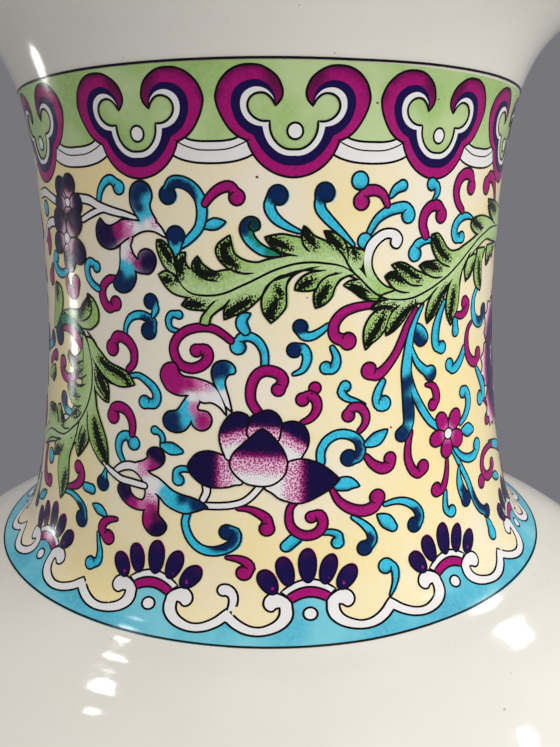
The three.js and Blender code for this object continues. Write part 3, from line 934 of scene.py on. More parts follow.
# The magenta scrolls: curling strokes that swell from a thin start to a round head. The printed
# outline is a dark plum, and the enamel inside it is one even coat with a fine grain.
PLUM_INK = colour(38, 6, 26)
MAGENTA_SCROLLS = [
    ([(-1.4, 40.7), (-2.5, 42.4), (-2.7, 44.1), (-2.4, 45.7), (-1.6, 47.1), (-0.3, 47.8), (1.1, 47.7),
      (2.3, 47.1), (2.8, 46), (2, 44.6)], (0.75, 0.9, 0.95), 1.15),
    ([(8.25, 44.7)], (1.05,), 1.05),
    ([(6, 38.8), (7.3, 39.4), (8.2, 40.3), (8.6, 41.4), (8.4, 42.6), (7.4, 43.5), (6.1, 42.8)],
     (0.45, 0.8, 0.85), 1.15),
    ([(-9.9, 75.3), (-8.8, 76.6), (-7.2, 77.7), (-5.6, 77.9), (-4.6, 76.3)], (0.6, 0.8, 0.85), 1.3),
    ([(-28.1, 62.5), (-29.7, 62.4), (-31.2, 61.3), (-31.75, 59.9), (-31.4, 58.4), (-30.1, 57.3),
      (-28.4, 58.2)], (0.6, 0.85, 0.9), 1.3),
    ([(-6, 52.9), (-7, 53.7), (-8.4, 54.6), (-9.9, 55), (-12, 54.9), (-14.1, 54.2), (-15.65, 52.85),
      (-16.3, 51.1), (-15.8, 49.4), (-14.8, 48.3), (-12.9, 47.9), (-11, 48.6), (-10, 49.9),
      (-10.4, 51.2), (-12.1, 51)], (0.6, 0.75, 0.85, 0.95), 1.1),
    ([(-25.7, 46.7), (-24.6, 47.9), (-24.5, 49.9), (-25.3, 51.3), (-26.7, 52.2), (-28.5, 52.2),
      (-29.6, 50.2)], (0.6, 0.9, 1.0), 1.5),
    ([(18.9, 58.5), (17, 58.4), (15.1, 58.1), (13.4, 57.5), (12.1, 56.3), (11.5, 54.9), (11.9, 53.3),
      (14.1, 52.5)], (0.6, 0.85, 1.05), 1.5),
    ([(-24.7, 35), (-24.6, 36.5), (-25, 37.9), (-26, 39.1), (-27.6, 39.6), (-29.1, 39.1),
      (-29.2, 37.7)], (0.6, 0.9, 0.95), 1.4),
    ([(-6.4, 15.2), (-4.8, 15.1), (-3.4, 14.6), (-2.7, 13.6), (-3.6, 12.7)], (0.3, 0.7, 0.9), 1.25),
    ([(-4.8, 23.8), (-3.1, 23.8), (-1.35, 23.1), (0, 22), (0, 20.4)], (0.3, 0.7, 0.95), 1.25),
    ([(4.7, 25), (3.85, 24), (3.6, 22.4), (3.85, 20.85), (4.9, 19.6), (6.6, 19.0), (8.3, 19.5),
      (9.2, 20.9), (8.7, 22.5), (7.3, 22.2)], (0.5, 0.8, 0.85), 1.0),
    ([(-27.1, 18.8), (-28.6, 18.4), (-30, 17.4), (-30.2, 16), (-28.6, 15.1)], (0.35, 0.8, 0.95), 1.35),
    ([(27.8, 57.2), (26, 54.6), (24.8, 52), (23.3, 49.4), (21, 47), (19.3, 46.3), (18.1, 47.1)],
     (0.45, 0.75, 0.8, 1.15), 1.5),
    ([(16, 36.6), (17.1, 37.8), (17.3, 39.3), (16.4, 40.7), (14.9, 40.9), (14.1, 39.6)],
     (0.45, 0.8, 0.8), 1.15),
    ([(17.2, 32), (18.4, 30.5), (20.1, 29.5), (21.6, 29.8), (21.8, 31)], (0.5, 0.95, 1.05), 1.2),
    ([(30.4, 43.2), (32.1, 42.8), (33, 41.3), (32.9, 40), (32, 39.3)], (0.3, 0.85, 0.9), 1.15),
    ([(26.4, 35.2), (25.7, 32.8), (25.6, 30.3), (26.5, 28.1), (27.9, 27.2), (28.9, 28.2)],
     (0.5, 0.8, 0.9), 1.35),
    ([(35.2, 28.7), (35, 26.5), (34.3, 24.3), (33.2, 23), (31.9, 23.2)], (0.35, 0.65, 0.95), 1.35),
    ([(10.8, 27), (12, 24.7), (14, 23.1), (16.3, 22.4), (18.3, 22.9), (19, 24.4)],
     (0.4, 0.8, 1.0, 1.1), 1.45),
    ([(29.4, 69.9), (28.6, 71.6), (28.9, 73.5), (30.3, 74.8), (32.2, 74.8), (33, 73.3)],
     (0.8, 0.95, 0.9), 1.4),
    ([(20.9, 75), (19.9, 76.7), (18.3, 77.4), (16.6, 77), (16, 75.6)], (0.5, 0.85, 0.9), 1.4),
    ([(39.2, 74), (37.5, 75.5), (36.8, 77.4), (37.4, 79.3), (39.1, 80.4), (41.1, 80.1), (41.6, 78.2)],
     (0.6, 0.95, 0.95), 1.4),
    ([(55, 76), (53.8, 78.2), (51.8, 79.8), (49.8, 80.2), (48.3, 78.6)], (0.6, 0.95, 1.1), 1.7),
    ([(38.7, 55.3), (40.8, 54.9), (42.6, 55.7), (43.1, 56.9), (42.1, 57.2)], (0.45, 0.85, 0.9), 1.2),
    ([(45.3, 53.1), (43.8, 52), (43.2, 49.8), (43.6, 47.4), (45.1, 45.6), (47.2, 45), (48.7, 46.3)],
     (0.35, 0.9, 1.0), 1.4),
    ([(51.5, 36.3), (53.3, 35.4), (54.6, 33.6), (54.1, 32), (52.5, 32)], (0.4, 1.0, 1.1), 1.2),
    ([(46.6, 20.6)], (1.4,), 1.4),
    ([(55, 25.9), (51.5, 26.2), (48.8, 25.5), (47.7, 23.7), (48.3, 21.7), (50, 20.6), (52.2, 20.8),
      (53.6, 22)], (0.5, 0.85, 1.0), 1.3),
    ([(-43.6, 62), (-43.5, 60.6), (-42.6, 59.5), (-41.2, 59), (-40.1, 59.6), (-40, 61.1)],
     (0.3, 1.0, 1.1), 1.45),
    ([(-41, 43.4), (-42.8, 42.6), (-44.7, 42.3), (-46.4, 42.8), (-47.3, 43.8), (-46.9, 45)],
     (0.75, 0.9, 1.1), 1.4),
    ([(-41.8, 21.2), (-39.9, 21.8), (-38.2, 22.8), (-37.4, 24.2), (-37.7, 25.5), (-38.6, 25.9)],
     (0.35, 0.9, 1.0), 1.3),
    ([(-55.3, 26), (-55.8, 23), (-54.8, 20.3), (-53, 19.1), (-50.6, 19.5)], (0.8, 1.0, 1.1), 1.3),
    ([(-52.4, 70.2), (-52.6, 68), (-53.2, 66)], (0.6, 1.4, 0.5), 0),
    ([(-51.2, 63.8), (-51.9, 62.4), (-52.6, 61.2)], (0.3, 1.0, 1.4), 1.6),
    ([(-56, 43.6), (-53.4, 45.2), (-51.4, 45.7)], (0.6, 0.8, 1.0), 1.15),
    ([(88.5, 30), (91, 33), (94.5, 33.6), (96.4, 31), (94.8, 28.6), (92.6, 29.4)], (0.4, 0.9, 1.0), 1.4),
    ([(97, 69), (94.4, 72.4), (90.6, 72.6), (88.8, 69.6), (91, 67)], (0.4, 0.9, 1.0), 1.4),
    ([(66, 66), (69, 63.6), (73, 64), (74.6, 67), (72.4, 69.4), (70, 68)], (0.4, 0.9, 1.0), 1.4),
    ([(62, 14), (65, 11.6), (69, 12), (70.6, 15), (68.4, 17.4), (66.4, 16)], (0.4, 0.9, 1.0), 1.4),
]


def stroke(route, widths, head):
    """The centreline and the half widths of a scroll, which ends in a round head."""
    if len(route) == 1:
        return np.array(route * 2, float) + np.array([(0, 0), (0.01, 0)]), np.array((head, head))
    line = smooth_line(route, SAMPLE)
    halves = spread(widths, len(line))
    if head:
        run = np.cumsum(np.linalg.norm(np.diff(line[::-1], axis=0), axis=1))[::-1]
        left = np.concatenate([run, [0]])
        away = np.linalg.norm(line - line[-1], axis=1)
        swell = np.sqrt(np.clip(head**2 - away**2, 0, None))
        halves = np.where(left < 1.7 * head, np.maximum(halves, swell), halves)
        halves[-1] = head
    return line, halves


def painted_stroke(route, widths, head, paint, rim, level=0, spacing=1.2, dots=None):
    line, halves = stroke(route, widths, head)
    shade = paint(line, halves) if callable(paint) else flat_paint(paint)
    return painted_patch(stroke_loop(line, halves), shade, dots, rim, level, spacing)


def bend(line):
    """The way the line curls: 1 to its left, -1 to its right."""
    along = np.diff(line, axis=0)
    return 1 if np.sum(along[:-1, 0] * along[1:, 1] - along[:-1, 1] * along[1:, 0]) > 0 else -1


def curl_line(line, halves, level, ink):
    """The short line that a round head draws over its own stroke, from the inside of the curl."""
    way = line[-1] - line[-5]
    start = math.atan2(way[1], way[0]) + bend(line) * math.pi / 2
    arc = []
    for share in np.linspace(0, 1, 6):
        angle = start + bend(line) * math.radians(95) * share
        arc.append(line[-1] + halves[-1] * (1 - 0.3 * share) * np.array((math.cos(angle), math.sin(angle))))
    return ink_line(arc, 0.12, level + 1, ink)


def spilled(loop, shift, value):
    return painted_patch(loop + np.array(shift), flat_paint(value), None, None, -0.6, 2.4)


def stacked(strokes, paint, rim, level=0.0, spacing=1.2, spill=None):
    """Strokes painted one after the other, each a hair over the one before. The thin colour is
    laid in a little beside the printed outline, and spills over it where spill is given."""
    sheets = []
    for k, entry in enumerate(strokes):
        line, halves = stroke(*entry)
        if spill:
            sheets.append(spilled(stroke_loop(line, halves), (0.34, -0.14), spill))
        sheets.append(painted_stroke(*entry, paint, rim, level + 0.04 * k, spacing))
        if entry[2] > 0.9 and len(line) > 12:
            sheets.append(curl_line(line, halves, level + 0.04 * k, rim))
    return sheets


def shaded_with(near, far, start=0.55, lean=0.9):
    """Paint for a stroke that deepens towards its head and on the inside of its curl."""
    near, far = np.array(near), np.array(far)

    def shading(line, halves):
        along = np.gradient(line, axis=0)
        along /= np.maximum(np.linalg.norm(along, axis=1), 1e-9)[:, None]

        def paint(places):
            off = places[:, None] - line[None]
            nearest = np.argmin(np.linalg.norm(off, axis=2), axis=1)
            gap = off[np.arange(len(places)), nearest]
            way = along[nearest]
            side = (way[:, 0] * gap[:, 1] - way[:, 1] * gap[:, 0]) / np.maximum(halves[nearest], 0.2)
            inner = side * bend(line)
            if start is None:
                deep = np.clip((inner - 0.35) / 0.6, 0, 1) * lean
                return near * (1 - deep[:, None]) + far * deep[:, None]
            share = nearest / (len(line) - 1)
            deep = np.clip((share - start) / 0.09 + lean * inner, 0, 1)
            rim = np.clip((-inner - 0.3) / 0.35, 0, 1) * (1 - 0.35 * share)
            from_head = np.linalg.norm(places - line[-1], axis=1) / max(halves[-1], 0.5)
            deep = np.where(from_head < 0.9, 1.0, deep * (1 - rim * (lean > 0.5)))
            deep = (deep**2 * (3 - 2 * deep))[:, None]
            return near * (1 - deep) + far * deep

        return paint

    return shading


magenta_scrolls = laid("magenta_scrolls", stacked(
    MAGENTA_SCROLLS, shaded_with(MAGENTA, MAGENTA_DARK, None, 0.7), PLUM_INK, 0.3, 0.75), painted, 2)


# The turquoise scrolls: the same strokes in a transparent blue-green. Many are shaded in navy
# along the inside of the curl and over the head, which leaves a light rim.
TURQUOISE = colour(50, 183, 211)
NAVY = colour(0, 34, 80)
TEAL_INK = colour(6, 22, 32)
SPILLED_BLUE = colour(126, 194, 208)
TURQUOISE_SCROLLS = [
    ([(-9.9, 71.7), (-8.3, 72.1), (-6.6, 72.4)], (0.5, 0.95, 0.1), 0),
    ([(-31.1, 75.8), (-30.5, 77.5), (-29.2, 78.9), (-27.6, 79.3), (-26.1, 78)], (0.5, 0.7, 0.8), 1.2),
    ([(-15.4, 54.2), (-16.8, 54.6), (-17.2, 55.9), (-16.6, 57), (-15.2, 57)], (0.35, 0.55, 0.6), 0.75),
    ([(-0.3, 48.5), (-0.3, 50.4), (-0.7, 51.8), (-1.6, 53), (-2.9, 53.6), (-4.3, 53.4), (-4.8, 51.9)],
     (0.6, 0.75, 0.8), 1.35),
    ([(-3.5, 54.6), (-4.1, 55.6), (-3.9, 56.7), (-2.7, 57.5)], (0.8, 1.0, 0.8, 0.1), 0),
    ([(11.3, 51.5), (12, 50), (11.9, 48.6), (11.2, 47.8), (10.2, 48.1)], (0.45, 0.8, 0.85), 1.1),
    ([(-25.3, 45.5), (-23.6, 45.8), (-21.9, 45.1), (-20.3, 43.9), (-19.6, 42.5), (-20.2, 41.1),
      (-22.1, 41.2)], (0.4, 0.75, 0.9), 1.2),
    ([(-26.6, 29.9), (-27.5, 31.3), (-27.7, 32.7), (-27.1, 34.1), (-25.7, 34.6), (-24.3, 33.5)],
     (0.5, 0.8, 0.85), 1.3),
    ([(-18.4, 34), (-18.3, 35.1), (-18.8, 36), (-19.9, 36.4)], (0.4, 0.5, 0.5), 0.75),
    ([(-18.2, 33.8), (-16.6, 33.5), (-14.9, 33.2)], (0.6, 1.1, 0.5), 0),
    ([(-13.4, 30.1), (-14.6, 30.1), (-15.6, 29.4), (-15.2, 28.1)], (0.5, 0.6, 0.7), 1.05),
    ([(4.7, 18.7), (3.1, 17.3)], (1.0, 0.95), 0),
    ([(9.2, 19.3), (10.4, 19.3), (11.8, 18.6), (11.5, 17.4)], (0.4, 0.6, 0.7), 1.05),
    ([(-31.1, 15.3), (-30.6, 13.6), (-30.0, 11.85), (-30.1, 10.1), (-31.6, 9.4)], (0.25, 0.6, 0.9), 1.2),
    ([(-29.7, 18.9), (-31.5, 19.6), (-33.3, 20.1)], (0.3, 0.95, 0.1), 0),
    ([(11.2, 27.4), (13, 27.6), (14.5, 27.4), (15.7, 26.9)], (0.7, 1.2, 1.1, 0.1), 0),
    ([(18.9, 21.2), (20.3, 20), (21.6, 18.6)], (0.2, 1.2, 0.85), 0),
    ([(19.4, 6.8), (20.6, 8.6), (21.1, 10.3), (20.9, 11.6), (19.6, 12)], (0.15, 0.6, 0.8), 1.35),
    ([(34.1, 22.4), (33.8, 20.8), (33.7, 19.3), (34.2, 18.4), (35.2, 18.2)], (0.4, 0.65, 0.8), 1.15),
    ([(20.8, 45), (19.9, 43.5), (19.5, 41.9), (20, 40.8), (20.9, 41.1)], (0.55, 0.85, 0.95), 1.35),
    ([(17.2, 41.3), (15.6, 42), (13.9, 42.6), (12.9, 43.7), (13.6, 44.7)], (0.15, 0.55, 0.85), 1.0),
    ([(17.4, 34.2), (19.2, 34.9), (21.4, 36.3)], (0.6, 1.2, 0.1), 0),
    ([(35.2, 58), (34, 55.8), (33.1, 53.5), (32.9, 51.3), (33.4, 49.9), (34.7, 49.6)],
     (0.4, 0.9, 0.95), 1.2),
    ([(38.7, 55), (39, 52.1)], (0.7, 0.95), 1.05),
    ([(42.2, 48.3), (40.9, 46.5), (39.3, 45.3), (37.9, 45.1), (37.1, 46)], (0.75, 0.9, 0.9), 1.2),
    ([(17.6, 70.6), (19, 72.7), (21, 74), (23.3, 74.6), (24.8, 74.5), (25.2, 73.4)],
     (0.5, 0.85, 0.95), 1.4),
    ([(16.9, 69.2)], (1.35,), 1.35),
    ([(31.2, 69), (29.3, 69), (27.6, 68.4), (27.1, 66.9)], (0.4, 0.7, 1.0), 1.4),
    ([(43.7, 72.4), (41.5, 73), (39.4, 72.9), (37.8, 72), (37.1, 70.6), (37.7, 69.2), (39.5, 69.3)],
     (0.15, 0.7, 0.85, 0.85), 1.05),
    ([(15.6, 78.9)], (1.45,), 1.45),
    ([(21.4, 76.4), (22.4, 77.6), (23.7, 78.2)], (0.35, 0.75, 0.9), 0.95),
    ([(30.6, 75.8), (31.5, 77), (31.3, 78.2), (30.1, 78.5)], (0.15, 0.65, 0.8), 1.1),
    ([(47.6, 43.6), (49.5, 41.4), (50.9, 39.2), (50.9, 37.6), (49, 37.3)], (0.5, 1.1, 1.15), 1.5),
    ([(40, 34.2), (41.8, 35.3), (43.1, 37), (43.2, 38.9), (42.3, 40.1), (41.4, 40)],
     (0.5, 0.95, 0.95), 1.15),
    ([(40.9, 32.6), (42.6, 32.3), (44.3, 31.9)], (0.7, 1.35, 0.7), 0),
    ([(37.7, 29.8), (39.2, 28.2), (41, 27.1), (43.1, 26.6), (45, 26.9), (46, 28.3)],
     (0.5, 0.85, 1.0), 1.45),
    ([(46.2, 12.9), (46.8, 11.3), (46.8, 9.7)], (0.3, 0.95, 1.1), 1.4),
    ([(53, 19.6), (55.3, 18.8), (57.3, 17.9)], (0.3, 0.95, 0.3), 0),
    ([(-52.3, 74.5)], (1.5,), 1.5),
    ([(-43.2, 63.2), (-45, 62.5), (-46.8, 62.5), (-48.4, 63.2), (-49.2, 64.5), (-48.4, 65.4)],
     (0.6, 0.9, 1.15), 1.2),
    ([(-32.7, 60.5), (-34.4, 61.3), (-35.6, 62.7), (-35.7, 64.3), (-34.7, 65.2), (-33, 64.4)],
     (0.6, 0.75, 0.75), 1.0),
    ([(-35.8, 22.8), (-34, 22.8)], (0.85, 0.9), 0.95),
    ([(-51.7, 16.7), (-53.6, 15.3), (-55.5, 14.2)], (0.3, 0.95, 0.5), 0),
    ([(-51.6, 24.5)], (1.6,), 1.6),
    ([(97.4, 60), (93.6, 62), (89.8, 60.4), (89.2, 56.6), (91.8, 54.8)], (0.4, 0.9, 1.0), 1.4),
    ([(76, 72), (79, 74.6), (82.6, 73.8), (83.6, 70.4), (81, 68.6)], (0.4, 0.9, 1.0), 1.4),
    ([(73, 20), (76, 22.4), (79.6, 21.6), (80.4, 18.4), (78, 16.8)], (0.4, 0.9, 1.0), 1.4),
]
NAVY_HEADED = [
    ([(5.6, 70.8), (3.5, 71.7), (1.8, 72.8), (0.75, 74.3), (0.8, 75.6), (2.0, 76.6)],
     (0.3, 0.8, 0.9), 1.6),
    ([(14.8, 68.6), (13.9, 69.5), (12.3, 71), (10.4, 72.75), (9.0, 74.4), (8.9, 75.8), (9.7, 77)],
     (0.3, 0.8, 0.85), 1.6),
    ([(10.6, 55.4), (9.1, 54.3), (7.6, 53.6), (6.3, 53.8), (5.75, 55.2)], (0.4, 0.7, 0.85), 1.25),
    ([(4.6, 47.2), (6, 47.8), (6.7, 49), (6.9, 50.3), (6.2, 51.6), (4.7, 51.3)], (0.3, 0.75, 0.8), 1.25),
]
NAVY_SCROLLS = [
    ([(-14.4, 68.6), (-12.9, 69.6), (-11.3, 71.2), (-10.6, 72.9), (-10.5, 74.9), (-10.9, 76.4),
      (-12, 77.8), (-13.75, 78.7), (-15.6, 78.6), (-16.4, 76.7)], (0.6, 0.9, 0.9), 1.5),
    ([(-26.3, 52.7), (-26.2, 54.2), (-25.2, 55.8), (-23.6, 56.5), (-21.9, 56.4), (-20.3, 55.4),
      (-21.2, 53.9)], (0.3, 0.7, 0.8), 1.5),
    ([(-20.3, 56.4), (-19.7, 57.8), (-20.6, 59)], (0.3, 0.7, 0.9), 1.35),
    ([(-13.4, 22.2), (-13.7, 20.7), (-13.2, 18.9), (-12.2, 17.4), (-10.6, 16.3), (-8.6, 16.1),
      (-6.5, 16.8), (-5.2, 18), (-5.2, 19.6), (-6.5, 19.6)], (0.6, 0.75, 0.95), 1.3),
    ([(20.4, 22.9), (22.5, 23.1), (24.4, 22.7), (26.2, 21.6), (27.2, 20.1), (27.1, 18.8), (26, 18.1)],
     (0.4, 0.75, 1.0), 1.4),
    ([(14.3, 21.5), (16, 20.2), (17.3, 18.6), (17.5, 16.9), (16.1, 15.8)], (0.35, 0.75, 0.95), 1.3),
    ([(9.1, 31.8), (9.1, 33.6), (10.1, 35.4), (12, 36.4), (14.1, 36.2), (15.8, 35), (16.2, 33.2),
      (15.5, 32), (14, 32.1)], (0.7, 0.8, 0.95), 1.45),
    ([(47, 59.2), (45.9, 57.5), (45.8, 55.3), (46.8, 53.5), (48.8, 52.6), (50.8, 52.9), (51.7, 54.4)],
     (0.5, 0.95, 1.1), 1.6),
    ([(37.1, 29.6), (38.4, 27.4), (39.8, 25), (41.2, 22.4), (42.1, 20), (43.1, 17.6), (44.6, 15.6),
      (46.8, 14.3)], (0.45, 0.6, 0.75, 0.9), 1.4),
    ([(-41.7, 35.8), (-43.6, 35.8), (-45, 36.5), (-45.8, 38)], (0.7, 0.8, 1.0), 1.4),
    ([(-42.7, 20), (-40.6, 20.3), (-38.6, 20.05), (-37, 19.3), (-35.7, 18.2), (-36, 16.6)],
     (0.35, 0.65, 1.05), 1.6),
    ([(-30.5, 27.8), (-30.9, 26.2), (-31.2, 24.7)], (0.1, 1.1), 1.45),
    ([(-15.6, 67.6), (-15.4, 68.8), (-15.3, 70.1)], (1.0, 1.4), 1.65),
    ([(-57.4, 46.8), (-55.4, 47.6), (-53.8, 48.8)], (0.8, 1.2), 1.6),
    ([(-58.4, 18), (-58.4, 15), (-57.8, 12.6)], (0.4, 1.1), 1.6),
    ([(38.8, 26.2), (38.4, 24), (38.7, 21.8), (39.9, 19.2)], (0.15, 0.9, 1.3), 1.5),
    ([(53, 26.5), (58, 25), (63, 22.9), (69, 20)], (0.7, 1.1, 1.1), 0),
    ([(97, 38), (93.4, 41.4), (92.4, 45.4), (94, 49), (97, 49.4), (97.6, 46.6)], (0.4, 0.9, 1.0), 1.5),
    ([(86, 20), (89.4, 23), (93.6, 22.6), (95.6, 19), (93.6, 16.4)], (0.4, 0.9, 1.0), 1.5),
]


turquoise_scrolls = laid("turquoise_scrolls", stacked(
    TURQUOISE_SCROLLS, shaded_with(TURQUOISE, NAVY, None, 0.75), TEAL_INK, 0.0, 0.75, SPILLED_BLUE),
    painted, 2)
navy_scrolls = laid("navy_scrolls", stacked(
    NAVY_HEADED, shaded_with(TURQUOISE, NAVY, 0.76, 0.3), TEAL_INK, 0.1, 0.5, SPILLED_BLUE)
    + stacked(NAVY_SCROLLS, shaded_with(TURQUOISE, NAVY), TEAL_INK, 0.3, 0.6, SPILLED_BLUE), painted, 2)

# The stems: left in reserve as white bands lined in ink. They carry the blossoms and the lotus.
STEMS = [
    ([(-55.4, 77.2), (-53.2, 77.5), (-51.2, 77.45), (-48.3, 76.65), (-44.6, 75.6)], (0.8, 0.85, 0.7)),
    ([(-55.6, 68.6), (-53.8, 70.2), (-51.4, 71.5), (-49.4, 71.95), (-46, 72)], (0.7, 0.85, 0.85)),
    ([(-36, 72.6), (-34.4, 73.2), (-32.3, 73.9), (-30, 74.4), (-28, 74.2)], (0.55, 0.6, 0.55, 0.6)),
    ([(-37.4, 76.4), (-35.5, 76.2), (-33.5, 75.9), (-31.3, 75), (-29.2, 74.4), (-27, 73.9),
      (-24.9, 73.5), (-22.8, 72.9)], (0.7, 0.8, 0.75, 0.7, 0.6, 0.4)),
    ([(-10.2, 27.6), (-10.1, 26.4), (-10.7, 25)], (0.7, 0.6)),
    ([(-1, 27.9), (-2.5, 26.1), (-3.9, 25), (-5.7, 24.4), (-7.75, 24.1), (-10.4, 23.95)], (0.6, 0.6)),
    ([(-5.7, 6.1), (-5.2, 7.1), (-5.1, 8.3), (-5.5, 9.2), (-6.2, 9.65), (-6.7, 9.6)], (0.3, 0.6, 0.7, 0.8, 0.95, 1.0)),
]


def merged(loops, paint, dots=None, rim=INK, level=0.0, spacing=1.2, half=INK_HALF):
    """Shapes that run into each other: ink round them all together, and none where they join."""
    sheets = []
    for k, loop in enumerate(loops):
        places, faces, _ = flat_sheet([moved(loop, half)], 3.0)
        rise = level + 0.03 * k
        sheets.append((places, faces, plain(faces, rim), plain(faces, NO_DOTS),
                       COAT_LIFT + STEP_UP * (rise + 1), STEP_UP * (rise + 2)))
        sheets.append(painted_patch(moved(loop, -half), paint, dots, None, rise + 0.8, spacing))
    return sheets


stem_loops = [stroke_loop(*stroke(route, widths, 0)) for route, widths in STEMS]
stems = laid("stems", merged(stem_loops, flat_paint(WHITE), level=0.2), painted, 2)


# The leafy branches: long serrated blades in a fresh green, paler along the middle. The veins are
# drawn in ink, and close hatching in dark green darkens each leaf towards its tip.
LEAF = colour(152, 185, 106)
LEAF_PALE = colour(180, 204, 146)
LEAF_INK = colour(10, 17, 5)
SPILLED_GREEN = colour(196, 206, 150)
LEFT_LEAVES = [
    ([(-38.2, 49.6), (-39.3, 48.1), (-41, 47.1), (-42.8, 47.1), (-43.8, 47.75)],
     [(-44.4, 46.7), (-43.6, 45.7), (-42.4, 44.8), (-41.4, 44.3), (-38.5, 43.9)]),
    ([(-38.1, 45.3), (-40.35, 44.6), (-41.4, 43.9)], [(-40.5, 43.2), (-38.1, 43.1), (-36.9, 44)]),
    ([(-37.2, 42.8), (-38.8, 41.9), (-40.2, 41.7), (-41.8, 42), (-43.6, 41.4)],
     [(-44.3, 40.65), (-43.6, 39.3), (-42.4, 38.1), (-41.2, 37.5), (-38.4, 37.6)]),
    ([(-38.2, 38), (-40, 37.6), (-41.2, 37.4), (-42, 36.3)], [(-41, 34.9), (-40, 35), (-38.5, 35.4)]),
    ([(-41, 33.4), (-43.8, 33), (-45.2, 33.6), (-46.6, 35.3)],
     [(-47.4, 34.4), (-47.6, 33.2), (-46.75, 32.3), (-45, 31.4)]),
    ([(-46.8, 34.9), (-47.4, 36.3), (-48.2, 36.3), (-49, 35.8)],
     [(-48.7, 34.4), (-47.9, 32.7), (-46.6, 31.8)]),
    ([(-48.2, 32), (-49.2, 34.2), (-50.6, 35.6)],
     [(-52.3, 35.5), (-54.2, 35.2), (-55.6, 33.8), (-54.5, 30.5)]),
    ([(-37, 51.4), (-35, 51.1), (-33.8, 49.85), (-32.4, 48.8), (-31, 47.75), (-29.7, 47.2),
      (-27.6, 46.7), (-26.2, 46.2), (-25.2, 45.3), (-24.3, 44)],
     [(-26.4, 43.4), (-28.5, 43.4), (-30.5, 44.1), (-32.3, 45), (-34, 46.4), (-35.4, 47.6)]),
    ([(-35.3, 47), (-34, 46.4), (-32.4, 44.8), (-31.4, 44.1), (-30.7, 43.1), (-30.45, 41.7),
      (-30.5, 40)], [(-31.6, 40.1), (-33, 40.8), (-34.2, 41.7), (-35.2, 43)]),
    ([(-34.8, 42.8), (-34.1, 40.6), (-33.8, 38.9), (-33.1, 37.3), (-32.1, 35.5), (-31.06, 33.6),
      (-30.45, 31.8), (-30.2, 30.1), (-30.1, 28.6)],
     [(-30.9, 28), (-32.3, 28.7), (-33.5, 29.75), (-34.7, 31), (-35.6, 32.6), (-36.3, 35), (-36, 38)]),
    ([(-38.6, 35), (-39.85, 32.7), (-39.9, 31), (-39.8, 29.2), (-39, 27.9)],
     [(-38.1, 28.7), (-36.7, 30.3), (-35.85, 31.65), (-35.7, 33), (-36.2, 35), (-37, 36.6)]),
    ([(-45.5, 29.8), (-46, 27.7), (-46.6, 26.3), (-46.9, 25.1), (-46.9, 24), (-46.6, 22.6),
      (-45.9, 21.2), (-45.2, 20), (-44.1, 18)],
     [(-43.1, 19.1), (-42.4, 20.3), (-41.95, 21.9), (-41.95, 23.4), (-42.2, 26.3), (-41.8, 28),
      (-41, 29.5), (-39.8, 31.4)]),
    ([(-47.6, 29.6), (-49, 28.3), (-49.7, 26.9), (-49.9, 25.2)],
     [(-48.3, 25.8), (-46.9, 26.3), (-45.9, 27.3), (-44.8, 29.2)]),
    ([(-46.2, 55.1), (-45, 55.5), (-42.4, 56), (-40, 56.1), (-38.4, 56.6), (-37.2, 57.35),
      (-36.5, 58.4), (-36.1, 59.4)],
     [(-35.2, 59), (-34.1, 58.2), (-33.1, 56.65), (-33.1, 54.9), (-33.8, 53.9), (-35.5, 52.9),
      (-37.2, 52.75), (-38.4, 52.85), (-39.8, 53.5), (-41.5, 54.2), (-44, 54.6)]),
    ([(-52.4, 51), (-51.9, 53.4), (-51.25, 55.6), (-50.6, 57.7), (-50.4, 59.3), (-49.5, 60.6)],
     [(-47.8, 60.3), (-46.6, 59.6), (-46.06, 58.2), (-46.2, 56.5), (-46.9, 55), (-48.5, 53.4),
      (-50.4, 51.6)]),
    ([(-56, 42), (-54, 43), (-52.2, 43.6), (-51.4, 42.6), (-51.5, 41.2), (-52.8, 40)],
     [(-54.4, 40.4), (-56.6, 40.6)]),
]
LEFT_BLADES = [
    ([(-58, 26.6), (-54.5, 28.8), (-51, 30.2), (-48, 30.5), (-44.8, 31.3), (-41.6, 33.3), (-39, 35.8),
      (-37.3, 38.5), (-36.5, 41.5), (-36.4, 45), (-36.8, 48), (-37.9, 51.4)],
     (1.4, 2.0, 2.3, 2.2, 2.0, 2.0, 2.1, 2.1, 2.1, 2.0, 1.5, 0.3)),
]
